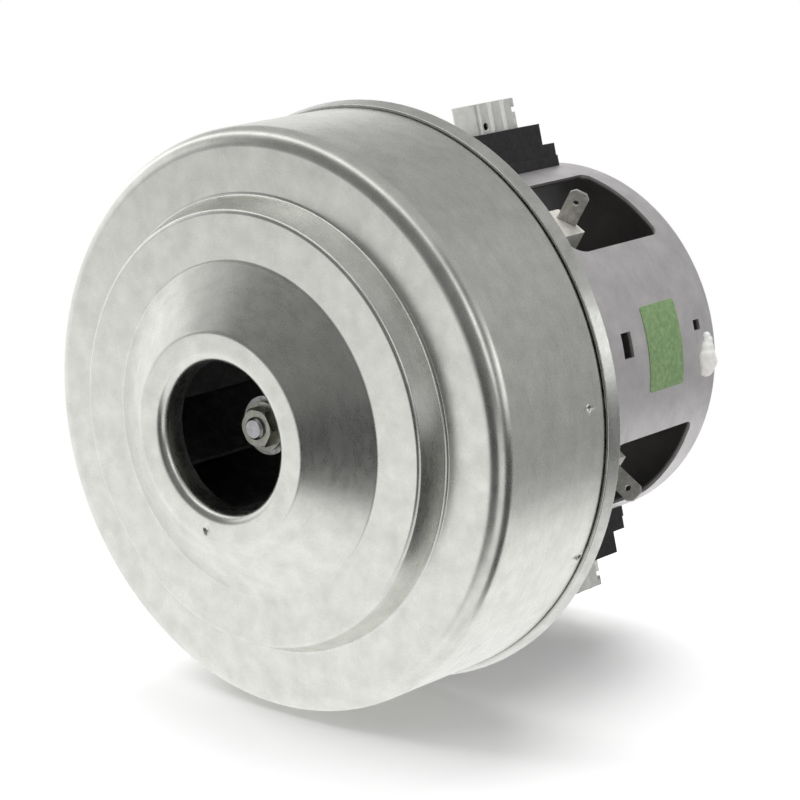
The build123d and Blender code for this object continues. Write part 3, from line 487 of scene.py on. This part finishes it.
def add_wire(work, points, radius, sides, closed=False):
    """Round wire along a list of points; its side starts askew to them and is carried from ring to ring."""
    count = len(points)
    circle = [(cos(angle), sin(angle)) for angle in even_turns(sides)]
    rings = []
    side = Vector((0.3, 0.5, 0.8))
    for index, point in enumerate(points):
        ahead = points[(index + 1) % count] if closed or index + 1 < count else point
        behind = points[index - 1] if closed or index > 0 else point
        along = (ahead - behind).normalized()
        side = (side - along * side.dot(along)).normalized()
        other = along.cross(side)
        rings.append([work.verts.new(point + (side * cosine + other * sine) * radius)
                      for cosine, sine in circle])
    for first, second in zip(rings, rings[1:]):
        join_rings(work, first, second)
    if closed:
        last, first = rings[-1], rings[0]
        gaps = [(last[0].co - vertex.co).length for vertex in first]
        join_rings(work, last, first, shift=gaps.index(min(gaps)))
    else:
        work.faces.new(list(reversed(rings[0])))
        work.faces.new(rings[-1])


def add_turned(work, section, turns):
    """Closed ring through a section of (radius, station) points at each of the turns."""
    columns = [[work.verts.new(around_shaft(turn, radius, station)) for radius, station in section]
               for turn in turns]
    for here, there in zip(columns, columns[1:] + columns[:1]):
        join_rings(work, here, there)


# Field coils: turns of enamelled wire laid in layers round each pole. Pitches are in wire radii.
coil_wire_radius = 0.4 * mm
coil_wire_sides = 8
coil_columns = 6
coil_layers = 7
coil_layer_pitch = 2.02
coil_column_pitch = 2.03
coil_corner_growth = 2.3
coil_inner_half_width = 10.85 * mm
coil_inner_radius = 26.55 * mm
coil_corner = 0.9 * mm
coil_corner_steps = 6
coil_unevenness = 0.04 * mm
coils = {"field_coil_a": (label_turn, 1), "field_coil_b": (label_turn + pi, 2)}


def coil_loop(half_width, half_length, corner, middle):
    """Points of a rounded rectangle, across the pole and along the shaft."""
    points = []
    for quarter in range(4):
        across = half_width - corner if quarter in (0, 3) else corner - half_width
        along = half_length - corner if quarter in (0, 1) else corner - half_length
        for step in range(coil_corner_steps + 1):
            angle = pi / 2 * (quarter + step / coil_corner_steps)
            points.append((across + corner * cos(angle), middle + along + corner * sin(angle)))
    return points


def field_coil(name):
    turn, seed = coils[name]
    chance = random.Random(seed)
    front, rear = ends_along_shaft(name)
    middle = (front + rear) / 2
    half_length = (rear - front) / 2

    def build(work):
        for layer in range(coil_layers):
            height = coil_inner_radius + coil_wire_radius * (1 + coil_layer_pitch * layer)
            for column in range(coil_columns):
                inset = coil_wire_radius * (1 + coil_column_pitch * (coil_columns - 1 - column))
                half_width = coil_inner_half_width + coil_wire_radius * (1 + coil_column_pitch * column)
                corner = coil_corner + coil_wire_radius * coil_corner_growth * column
                lift = chance.uniform(-coil_unevenness, coil_unevenness)
                loop = coil_loop(half_width, half_length - inset, corner, middle)
                points = [around_shaft(turn, height + lift, station) + tangent(turn) * across
                          for across, station in loop]
                add_wire(work, points, coil_wire_radius, coil_wire_sides, closed=True)

    piece = mesh_piece("wound_" + name, build, "copper_wire")
    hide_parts(name)


# Armature winding: end turns that cross from slot to slot over a varnished core, bars in the slots, and
# leads from the end turns to the commutator. The turns of a slot lie in levels, from the outermost inwards.
# Dips, rises and unevenness are shares, and the leads' sweep is in radians.
winding_seed = 7
winding_wire_radius = 0.42 * mm
winding_wire_sides = 6
winding_outer_radius = 20 * mm
winding_core_radius = 9.2 * mm
slot_count = 12
slots_spanned = 5
turns_per_slot = 9
turn_steps = 18
turns_depth = 4.2 * mm
turns_start_inside = 0.5 * mm
turns_unevenness = 0.03
outer_turn_dip = 0.3
dip_growth = 0.25
outer_turn_rise = 0.96
rise_drop = 0.3
swell_power = 0.6
rear_turns_gap = 4 * mm
core_outer_radius = 17.4 * mm
core_start_inside = 1.5 * mm
core_below_turns = 0.6 * mm
core_chamfer = 1.6 * mm
core_columns = 72
bar_layers = 6
bar_outer_radius = 19.2 * mm
bar_pitch = 1.2 * mm
bar_radius = 0.6 * mm
bar_overhang = 1 * mm
lead_count = 24
lead_steps = 8
lead_outer_radius = 18.4 * mm
lead_inner_radius = 12.9 * mm
lead_start_share = 0.7
lead_end_gap = 0.6 * mm
lead_sweep = 0.5
lead_power = 0.8


def armature_winding():
    chance = random.Random(winding_seed)
    front, rear = ends_along_shaft("armature_winding")
    stack_front, stack_rear = ends_along_shaft("armature_core")
    turns_rear = rear - rear_turns_gap

    def end_turns(work, face, reach):
        for slot in range(slot_count):
            for turn_index in range(turns_per_slot):
                level = turn_index / (turns_per_slot - 1)
                start_radius = winding_outer_radius - winding_wire_radius - level * turns_depth
                dip = (outer_turn_dip + dip_growth * level) * (start_radius - winding_core_radius)
                stray = chance.uniform(-turns_unevenness, turns_unevenness)
                rise = reach * (outer_turn_rise - rise_drop * level + stray)
                jitter = chance.uniform(-turns_unevenness, turns_unevenness)
                points = []
                for step in range(turn_steps + 1):
                    share = step / turn_steps
                    swell = sin(pi * share)
                    angle = full_turn * (slot + jitter + slots_spanned * share) / slot_count
                    station = face + rise * swell ** swell_power
                    points.append(around_shaft(angle, start_radius - dip * swell, station))
                add_wire(work, points, winding_wire_radius, winding_wire_sides)

    def varnished_core(work, face, end, sign):
        near = face - sign * core_start_inside
        far = end - sign * (2 * winding_wire_radius + core_below_turns)
        section = ((winding_core_radius, near), (core_outer_radius, near),
                   (core_outer_radius, far - sign * core_chamfer), (core_outer_radius - core_chamfer, far),
                   (winding_core_radius, far))
        add_turned(work, section, even_turns(core_columns))

    def slot_bars(work):
        for angle in even_turns(slot_count):
            for level in range(bar_layers):
                radius = bar_outer_radius - bar_pitch * level
                points = [around_shaft(angle + pi / slot_count, radius, station)
                          for station in (stack_front - bar_overhang, stack_rear + bar_overhang)]
                add_wire(work, points, bar_radius, winding_wire_sides)

    def commutator_leads(work):
        start = stack_rear + (turns_rear - stack_rear) * lead_start_share
        for angle in even_turns(lead_count):
            points = []
            for step in range(lead_steps + 1):
                share = step / lead_steps
                radius = lead_outer_radius + (lead_inner_radius - lead_outer_radius) * share ** lead_power
                station = start + (rear - lead_end_gap - start) * share
                points.append(around_shaft(angle + lead_sweep * (1 - share), radius, station))
            add_wire(work, points, winding_wire_radius, winding_wire_sides)

    def build(work):
        for face, end, sign in ((stack_front, front, -1), (stack_rear, turns_rear, 1)):
            varnished_core(work, face, end, sign)
            end_turns(work, face - sign * turns_start_inside, end - face - sign * winding_wire_radius)
        slot_bars(work)
        commutator_leads(work)

    piece = mesh_piece("wound_armature", build, "copper_wire", "rotor")
    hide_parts("armature_winding")


# Brush springs: round wire with closed ends, pressed together as the brush slides outwards.
spring_wire_radius = 0.35 * mm
spring_wire_sides = 8
spring_outer_radius = 2.45 * mm
spring_turns = 15
spring_steps_per_turn = 24
spring_end_share = 0.06
spring_end_pitch = 0.12


def brush_spring(side):
    turn = brush_turns[side]
    name = "brush_spring_" + side
    front, rear = ends_along_shaft(name)
    middle = along_shaft((front + rear) / 2)
    axis = radial(turn)
    reaches = [vertex.co.dot(axis) for vertex in nodes[name].data.vertices]
    inner_end, outer_end = min(reaches), max(reaches)
    length = outer_end - inner_end
    coil_radius = spring_outer_radius - spring_wire_radius
    steps = spring_turns * spring_steps_per_turn

    def build(work):
        points = []
        for step in range(steps + 1):
            share = step / steps
            opened = clamped((share - spring_end_share) / (1 - 2 * spring_end_share))
            spaced = spring_end_pitch * share + (1 - spring_end_pitch) * opened
            reach = inner_end + spring_wire_radius + (length - 2 * spring_wire_radius) * spaced
            angle = full_turn * spring_turns * share
            offset = tangent(turn) * cos(angle) + along_shaft(sin(angle))
            points.append(axis * reach + middle + offset * coil_radius)
        add_wire(work, points, spring_wire_radius, spring_wire_sides)

    piece = mesh_piece("coil_" + name, build, "spring_steel")
    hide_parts(name)
    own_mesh(piece)


# Fan cover: one pressed sheet, turned from the line of its outer face. Corners are (radius, station) points
# and bends their radii, all in millimetres; turns are in degrees.
cover_sheet_thickness = 0.9 * mm
cover_radius = 65.7 * mm
cover_corners = ((16.8, 2.0), (16.8, -4.4), (23.6, -4.4), (37.5, 4.5), (48.6, 4.5), (51.1, 10.9),
                 (65.7, 10.9), (65.7, 46.8))
cover_bends = (2.4, 2.0, 1.5, 1.2, 1.0, 4.3)
bend_steps = 12
lip_end_index = bend_steps + 2
cover_columns = 540
wall_rows = 8
wall_rows_end = 39.2 * mm
punch_radius = 1.0 * mm
punch_depth = 0.42 * mm
punch_rows = (41.2 * mm, 45.4 * mm)
punch_pair_turns = (82.6, 202.6, 322.6)
punch_pair_angle = 31.0
lip_mark_radius = 21.4 * mm
lip_mark_turn = 190.6
fine_step = 0.16 * mm
fine_count = 13
waviness = 0.03 * mm
waves_per_metre = 55


def turned_by(vector, angle):
    """A flat vector turned by an angle."""
    cosine, sine = cos(angle), sin(angle)
    return Vector((vector.x * cosine - vector.y * sine, vector.x * sine + vector.y * cosine))


def bent_line(corners, bends, steps):
    """Points of a line with rounded corners, each with the direction in which the line runs there."""
    places = [Vector((radius * mm, station * mm)) for radius, station in corners]
    line = []
    for before, corner, after, bend in zip(places, places[1:], places[2:], bends):
        arriving = (corner - before).normalized()
        turned = arriving.angle_signed((after - corner).normalized())
        start = corner - arriving * bend * mm * tan(abs(turned) / 2)
        side = 1 if turned > 0 else -1
        centre = start + Vector((arriving.y, -arriving.x)) * side * bend * mm
        for step in range(steps + 1):
            angle = -turned * step / steps
            line.append((centre + turned_by(start - centre, angle), turned_by(arriving, angle)))
    first = (places[1] - places[0]).normalized()
    last = (places[-1] - places[-2]).normalized()
    return [(places[0], first), *line, (places[-1], last)]


def with_places(line, index, places):
    """The line with extra places before one of its points, on the straight run that leads there."""
    along = line[index][1]
    return [*line[:index], *((place, along) for place in places), *line[index:]]


def fine_places(middle, step):
    """Close places on both sides of a middle."""
    return [middle + step * (index - fine_count // 2) for index in range(fine_count)]


def cover_marks():
    """Turn, radius and station of each punch mark and of the lip's dimple."""
    marks = [(radians(pair_turn + punch_pair_angle * index), cover_radius, row)
             for pair_turn in punch_pair_turns for index, row in enumerate(punch_rows)]
    return [*marks, (radians(lip_mark_turn), lip_mark_radius, cad_low.y)]


def cover_turns(marks):
    """Turns of the cover's columns of vertices: even ones, and close ones at the marks."""
    turns = set(even_turns(cover_columns))
    for turn, radius, station in marks:
        close = fine_step / radius
        turns = {other for other in turns if abs(other - turn) > close * fine_count / 2}
        turns |= {place % full_turn for place in fine_places(turn, close)}
    return sorted(turns)


def fan_cover():
    line = bent_line(cover_corners, cover_bends, bend_steps)
    last_bend = line[-2][0].y
    rows = [last_bend + (wall_rows_end - last_bend) * (row + 1) / wall_rows for row in range(wall_rows)]
    for row in punch_rows:
        rows += fine_places(row, fine_step)
    line = with_places(line, -1, [Vector((cover_radius, row)) for row in rows])
    lip_radii = fine_places(lip_mark_radius, fine_step)
    line = with_places(line, lip_end_index, [Vector((radius, cad_low.y)) for radius in lip_radii])
    outer = [(point.x, point.y) for point, along in line]
    inner = [(point.x - along.y * cover_sheet_thickness, point.y + along.x * cover_sheet_thickness)
             for point, along in line]
    marks = cover_marks()

    def wave(work):
        for vertex in work.verts:
            away = off_axis(vertex.co)
            if away.length > cover_radius - 2 * cover_sheet_thickness and vertex.co.y > last_bend:
                vertex.co += away.normalized() * noise.noise(vertex.co * waves_per_metre) * waviness

    def punch(work, centre):
        push = along_shaft(1) if centre.y < 0 else -off_axis(centre).normalized()
        for vertex in work.verts:
            distance = (vertex.co - centre).length
            if distance < punch_radius:
                vertex.co += push * punch_depth * (1 - (distance / punch_radius) ** 2)

    def build(work):
        add_turned(work, [*outer, *reversed(inner)], cover_turns(marks))
        wave(work)
        for mark in marks:
            punch(work, around_shaft(*mark))

    piece = mesh_piece("pressed_fan_cover", build, "cover_sheet")
    even_normals(piece)
    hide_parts("fan_cover")


# Bracket: the CAD mesh with its ring drawn in towards the cover and its edges broken.
ring_front = 47.15 * mm
ring_rear = 50.65 * mm
ring_draw = 0.8 * mm
bracket_edge = 0.2 * mm


def bracket():
    def build(work):
        work.from_mesh(nodes["motor_bracket"].data)
        bmesh.ops.remove_doubles(work, verts=work.verts, dist=merge_distance)
        for vertex in work.verts:
            away = off_axis(vertex.co)
            if away.length > cover_radius + ring_draw:
                share = clamped((ring_rear - vertex.co.y) / (ring_rear - ring_front))
                vertex.co -= away.normalized() * ring_draw * share

    piece = mesh_piece("drawn_bracket", build, "cast_bracket")
    rounded_edges(piece, bracket_edge)
    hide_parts("motor_bracket")


# Brush tubes: folded sheet with two soft pressed beads on each side, a round hole and a notch. Ends, beads,
# hole and notch are placed by their distance from the shaft.
tube_station = 105.5 * mm
tube_half_width = 4.1 * mm
tube_half_length = 7.45 * mm
tube_wall = 0.6 * mm
tube_corner = 0.9 * mm
tube_least_corner = 0.2 * mm
tube_inner_end = 14.6 * mm
tube_outer_end = 60.5 * mm
tube_edge_break = 0.15 * mm
tube_lid_drop = 0.5 * mm
tube_lid_inset = 0.42 * mm
tube_lid_slope = 0.05 * mm
bead_places = (-2.235 * mm, 2.682 * mm)
bead_half_width = 1.15 * mm
bead_height = 0.35 * mm
bead_start = 52.1 * mm
bead_full = 53.7 * mm
bead_share_at_end = 0.9
hole_radius = 0.95 * mm
hole_from_edge = 2.3 * mm
hole_reach = 54.8 * mm
hole_sides = 32
notch_inner = 57.1 * mm
notch_outer = 58.3 * mm
notch_depth = 1.8 * mm
cutter_half_width = 8 * mm
cutter_overhang = 1 * mm
side_steps = 56
end_steps = 6
corner_steps = 5


def bead_swell(along):
    """How far the tube's side stands out at a place along the shaft."""
    gaps = [abs(along - bead) for bead in bead_places]
    return sum(bead_height * (1 + cos(pi * gap / bead_half_width)) / 2
               for gap in gaps if gap < bead_half_width)


def tube_outline(inset, bead_share):
    """Points round the tube, across and along the shaft, with the beads on its two sides."""
    half_width, half_length = tube_half_width - inset, tube_half_length - inset
    corner = max(tube_corner - inset, tube_least_corner)
    straight = half_length - corner
    corner_angles = [pi / 2 * step / corner_steps for step in range(1, corner_steps)]
    points = []
    for step in range(side_steps + 1):
        along = straight * (2 * step / side_steps - 1)
        points.append((half_width + bead_swell(along) * bead_share, along))
    for angle in corner_angles:
        points.append((half_width - corner + corner * cos(angle), straight + corner * sin(angle)))
    for step in range(end_steps + 1):
        points.append(((half_width - corner) * (1 - 2 * step / end_steps), half_length))
    for angle in corner_angles:
        points.append((corner - half_width - corner * sin(angle), straight + corner * cos(angle)))
    return points + [(-across, -along) for across, along in points]


def cut_away(piece, build):
    """Takes the shape that build makes out of the piece, for good."""
    cutter = mesh_object("cutter", build)
    modifier = piece.modifiers.new("cut", "BOOLEAN")
    modifier.operation = "DIFFERENCE"
    modifier.solver = "EXACT"
    modifier.object = cutter
    graph = bpy.context.evaluated_depsgraph_get()
    cut = bpy.data.meshes.new_from_object(piece.evaluated_get(graph))
    piece.modifiers.remove(modifier)
    piece.data = cut
    bpy.data.objects.remove(cutter)


def brush_tube(side):
    turn = brush_turns[side]
    name = "brush_tube_" + side

    def place(across, along, reach):
        return around_shaft(turn, reach, tube_station + along) + tangent(turn) * across

    def rings(work, levels):
        """A ring of vertices for each level: distance from the shaft, inset and share of bead."""
        return [[work.verts.new(place(across, along, reach)) for across, along in tube_outline(inset, share)]
                for reach, inset, share in levels]

    def build(work):
        lid = tube_outer_end - tube_lid_drop
        outer = rings(work, ((tube_inner_end, 0, 0), (bead_start, 0, 0), (bead_full, 0, 1),
                             (tube_outer_end - tube_edge_break, 0, 1),
                             (tube_outer_end, 0, bead_share_at_end),
                             (tube_outer_end, tube_lid_inset, bead_share_at_end),
                             (lid, tube_lid_inset + tube_lid_slope, bead_share_at_end)))
        inner = rings(work, ((tube_inner_end, tube_wall, 0), (lid - tube_wall, tube_wall, 0)))
        for first, second in [*zip(outer, outer[1:]), (inner[0], outer[0]), (inner[0], inner[1])]:
            join_rings(work, first, second)
        work.faces.new(outer[-1])
        work.faces.new(inner[-1])

    def bar_across(work, outline):
        """Bar through both sides of the tube, from an outline of places along the shaft and out from it."""
        ends = [[work.verts.new(place(across, along, reach)) for along, reach in outline]
                for across in (-cutter_half_width, cutter_half_width)]
        join_rings(work, *ends)
        for end in ends:
            work.faces.new(end)

    def hole_and_notch(work):
        hole_along = hole_from_edge - tube_half_length
        bar_across(work, [(hole_along + hole_radius * cos(angle),
                           hole_reach + hole_radius * sin(angle)) for angle in even_turns(hole_sides)])
        bottom, mouth = tube_half_length - notch_depth, tube_half_length + cutter_overhang
        bar_across(work, ((bottom, notch_inner), (mouth, notch_inner),
                          (mouth, notch_outer), (bottom, notch_outer)))

    piece = mesh_piece("folded_" + name, build, "tinned_brass")
    cut_away(piece, hole_and_notch)
    even_normals(piece)
    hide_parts(name)


# Brush holders: the CAD mesh with the long edges of its tiers rounded.
holder_edge = 0.4 * mm
holder_long_edge = 1 * mm
holder_lowest_edge = 43.6 * mm


def brush_holder(side):
    name = "brush_holder_" + side
    outwards = radial(brush_turns[side])

    def rounded(edge):
        lowest = min(vertex.co.dot(outwards) for vertex in edge.verts)
        sharp = edge.calc_face_angle(0) > sharp_angle
        return sharp and lowest > holder_lowest_edge and edge.calc_length() > holder_long_edge

    def build(work):
        work.from_mesh(nodes[name].data)
        bmesh.ops.remove_doubles(work, verts=work.verts, dist=merge_distance)
        bmesh.ops.dissolve_limit(work, angle_limit=flat_angle, verts=work.verts, edges=work.edges)
        bmesh.ops.bevel(work, geom=[edge for edge in work.edges if rounded(edge)], offset=holder_edge,
                        offset_type="OFFSET", segments=bevel_segments, profile=0.5, affect="EDGES",
                        clamp_overlap=False)

    piece = mesh_piece("moulded_" + name, build, "black_moulding")
    even_normals(piece)
    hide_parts(name)


# Terminals: the CAD nodes keep their own meshes and get broken edges.
terminal_edge = 0.12 * mm

# Sealant: lumps that run together, thin at the top and full lower down. Each lump has its place round the
# can in millimetres, its share of the full size, and its shift along the shaft in millimetres.
seal_turn = label_turn + radians(10.1)
seal_station = 118.75 * mm
seal_radius = 2.6 * mm
seal_lumps = ((-4.4, 0.42, 0.3), (-3.2, 0.55, 0.5), (-1.7, 0.72, 0.0), (0.2, 0.92, -0.3), (1.9, 1.0, 0.2),
              (3.4, 0.8, -0.2))
seal_stretch = Vector((0.95, 1.22, 0.72))
seal_voxel = 0.16 * mm
seal_smoothing = 8
can_radius = 43.5 * mm


def sealant():
    def build(work):
        for across, share, shift in seal_lumps:
            turn = seal_turn + across * mm / can_radius
            centre = around_shaft(turn, can_radius, seal_station + shift * mm)
            axes = Matrix((tangent(turn), along_shaft(1), radial(turn))).transposed().to_4x4()
            size = Matrix.Diagonal((*(seal_stretch * seal_radius * share), 1))
            bmesh.ops.create_icosphere(work, subdivisions=3, radius=1,
                                       matrix=Matrix.Translation(centre) @ axes @ size)

    piece = mesh_piece("sealant_lump", build, "white_sealant")
    together = piece.modifiers.new("together", "REMESH")
    together.mode = "VOXEL"
    together.voxel_size = seal_voxel
    together.use_smooth_shade = True
    piece.modifiers.new("smooth", "SMOOTH").iterations = seal_smoothing
    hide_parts("sealant_dab")


# The camera's direction and the stage: a pale floor, the white room, and a dome that only glossy rays see.
# Azimuths go from -Y towards +X.
camera_azimuth = 39.66
camera_elevation = 14.3
floor_middle = Vector(((cad_low.x + cad_high.x) / 2, (cad_low.y + cad_high.y) / 2, cad_low.z))


def direction(azimuth, elevation):
    """Unit vector at an azimuth and an elevation in degrees."""
    around, up = radians(azimuth), radians(elevation)
    return Vector((sin(around) * cos(up), -cos(around) * cos(up), sin(up)))


to_camera = direction(camera_azimuth, camera_elevation)


def staged(name, build, material):
    """A mesh of the stage, set on the floor under the object's middle."""
    piece = mesh_object(name, build, outwards=False)
    piece.data.materials.append(material)
    piece.location = floor_middle
    return piece


# Soft areas of the room as metal mirrors them: middle and half width of azimuth and of elevation in degrees,
# how soft the edge is, and the level inside.
room_areas = {
    "ceiling": (180, 200, 66, 43, 12, 0.47),
    "back_ceiling": (184, 24, 42, 16, 14, 0.38),
    "back_right_wall": (150, 34, 2, 26, 16, 0.34),
    "low_front_left": (-22, 42, 3, 10, 16, 0.82),
    "front_top": (22, 72, 28, 30, 14, 0.18),
    "front_right_wall": (20, 28, -10, 20, 16, 0.06),
    "right_wall": (94, 24, -26, 30, 12, 0.05),
    "rim_wall": (54, 14, -20, 20, 12, 0.8),
    "floor_glow": (44, 24, -54, 19, 14, 0.85),
    "side_lamp": (116, 8, 20, 10, 6, 1.55),
}
room_radius = 1.3
room_rings = 72
room_columns = 144

# Long thin lamp that the rim's front bend mirrors. Places along the rim, in degrees: the turn, the bend at
# which the lamp shows there, and its level.
rim_lamp_stops = ((-60, 46, 1.7), (28, 46, 1.7), (45, 50, 0.9), (58, 53, 1.9), (66, 54, 1.9), (74, 56, 0.8))
rim_lamp_step = 3
rim_lamp_width = radians(6)


def mirrored(turn, bend):
    """Direction that the camera sees in the rim at a turn and a bend from the face towards the side."""
    turn, bend = radians(turn), radians(bend)
    normal = radial(turn) * sin(bend) - along_shaft(cos(bend))
    return (normal * 2 * normal.dot(to_camera) - to_camera).normalized()


def rim_lamp_points():
    """Directions along the lamp, each with the lamp's level there."""
    points = []
    for start, end in zip(rim_lamp_stops, rim_lamp_stops[1:]):
        steps = max(1, round((end[0] - start[0]) / rim_lamp_step))
        for step in range(steps):
            turn, bend, level = [low + (high - low) * step / steps for low, high in zip(start, end)]
            points.append((mirrored(turn, bend), level))
    return points


def soft_step(distance, half_width, softness):
    """1 within the half width and 0 outside it, with a soft edge."""
    share = clamped((half_width + softness / 2 - distance) / softness)
    return share * share * (3 - 2 * share)


def room_level(towards, rim_lamp):
    """Brightness of the mirrored room in a direction."""
    azimuth = degrees(atan2(towards.x, -towards.y))
    elevation = degrees(asin(towards.z))
    level = 1.0
    for middle, half, middle_up, half_up, softness, inside in room_areas.values():
        across = abs((azimuth - middle + 180) % 360 - 180)
        share = soft_step(across, half, softness) * soft_step(abs(elevation - middle_up), half_up, softness)
        level += (inside - level) * share
    nearest, lamp_level = min((towards.angle(place), lamp_level) for place, lamp_level in rim_lamp)
    return level + max(0, lamp_level - level) * exp(-(nearest / rim_lamp_width) ** 2)


def room_for_metal():
    """Dome painted with the room's soft light and dark areas, seen only by glossy rays."""
    made = new_material("room_for_metal")
    tree = made.node_tree
    tree.nodes.clear()
    level = tree.nodes.new("ShaderNodeAttribute")
    level.attribute_name = "level"
    emission = tree.nodes.new("ShaderNodeEmission")
    output = tree.nodes.new("ShaderNodeOutputMaterial")
    tree.links.new(level.outputs["Fac"], emission.inputs["Strength"])
    tree.links.new(emission.outputs["Emission"], output.inputs["Surface"])
    made.cycles.emission_sampling = "NONE"

    def build(work):
        bmesh.ops.create_uvsphere(work, u_segments=room_columns, v_segments=room_rings, radius=room_radius)

    piece = staged("room_for_metal", build, made)
    rim_lamp = rim_lamp_points()
    painted = piece.data.attributes.new("level", "FLOAT", "POINT")
    for vertex in piece.data.vertices:
        painted.data[vertex.index].value = room_level(vertex.co.normalized(), rim_lamp)
    shade_smooth(piece)
    piece.visible_camera = False
    piece.visible_diffuse = False
    piece.visible_shadow = False
    piece.visible_transmission = False


floor_half = 0.8
floor_fade_start = 0.05
floor_fade_end = 0.135
floor_grey = 0.95
floor_roughness = 0.9


def floor():
    """Pale floor that shows and takes the shadow near the object, and fades out round it."""
    made = new_material("pale_floor")
    tree = made.node_tree
    surface = tree.nodes["Principled BSDF"]
    set_inputs(surface, {"Base Color": grey(floor_grey), "Roughness": floor_roughness,
                         "Specular IOR Level": 0.0})
    place = tree.nodes.new("ShaderNodeTexCoord").outputs["Object"]
    fade = ranged(tree, length_of(tree, place), floor_fade_start, floor_fade_end, 0.0, 1.0)
    clear = tree.nodes.new("ShaderNodeBsdfTransparent")
    both = tree.nodes.new("ShaderNodeMixShader")
    tree.links.new(fade, both.inputs["Fac"])
    tree.links.new(surface.outputs["BSDF"], both.inputs[1])
    tree.links.new(clear.outputs["BSDF"], both.inputs[2])
    tree.links.new(both.outputs["Shader"], tree.nodes["Material Output"].inputs["Surface"])

    def build(work):
        work.faces.new([work.verts.new((x * floor_half, y * floor_half, 0))
                        for x, y in ((-1, -1), (1, -1), (1, 1), (-1, 1))])

    piece = staged("floor", build, made)
    piece.visible_glossy = False


matt_light = 0.66


def white_room():
    """White for the camera, glossy and transmission rays; softer as the light that falls on matt things."""
    world = bpy.data.worlds.new("white_room")
    bpy.context.scene.world = world
    world.use_nodes = True
    tree = world.node_tree
    background = tree.nodes["Background"]
    background.inputs["Color"].default_value = grey(1.0)
    path = tree.nodes.new("ShaderNodeLightPath")
    seen = path.outputs["Is Camera Ray"]
    for other in ("Is Glossy Ray", "Is Transmission Ray"):
        seen = larger(tree, seen, path.outputs[other])
    tree.links.new(ranged(tree, seen, 0.0, 1.0, matt_light, 1.0), background.inputs["Strength"])


def lamp(name, azimuth, elevation, distance, size, power):
    """Large soft lamp that faces the object; metal doesn't mirror it."""
    light = bpy.data.lights.new(name, "AREA")
    light.shape = "DISK"
    light.size = size
    light.energy = power
    piece = new_object(name, light)
    away = direction(azimuth, elevation)
    piece.location = floor_middle + away * distance
    piece.rotation_euler = away.to_track_quat("Z", "Y").to_euler()
    piece.visible_glossy = False


# The camera aims at the inlet's lip and stands off to the right and above, so that no lens shift is needed.
camera_distance = 647.01 * mm
camera_right = 39.22 * mm
camera_up = 8.52 * mm
aim_station = -4.4 * mm
focal_length_pixels = 3000
picture_width_pixels = 800
sensor_width = 36


def camera():
    """Long lens from the front right, a little above the shaft."""
    right = direction(camera_azimuth + 90, 0)
    up = to_camera.cross(right)
    lens = bpy.data.cameras.new("camera")
    lens.sensor_width = sensor_width
    lens.lens = focal_length_pixels / picture_width_pixels * sensor_width
    piece = new_object("camera", lens)
    pose = Matrix((right, up, to_camera)).transposed().to_4x4()
    pose.translation = (right * camera_right + up * camera_up + to_camera * camera_distance
                        + along_shaft(aim_station))
    piece.matrix_world = pose
    bpy.context.scene.camera = piece


finish_nodes()
fan_cover()
bracket()
sealant()
for side in brush_turns:
    brush_tube(side)
    brush_holder(side)
    rounded_edges(nodes["terminal_tab_" + side], terminal_edge)
for name in coils:
    field_coil(name)
armature_winding()
for side in brush_turns:
    brush_spring(side)

room_for_metal()
floor()
white_room()
lamp("key_lamp", azimuth=-60, elevation=48, distance=1.3, size=0.8, power=9)
lamp("top_lamp", azimuth=-150, elevation=66, distance=1.3, size=1.2, power=17)
lamp("fill_lamp", azimuth=60, elevation=35, distance=1.4, size=1.0, power=1)
camera()
bpy.context.scene.view_settings.view_transform = "Standard"
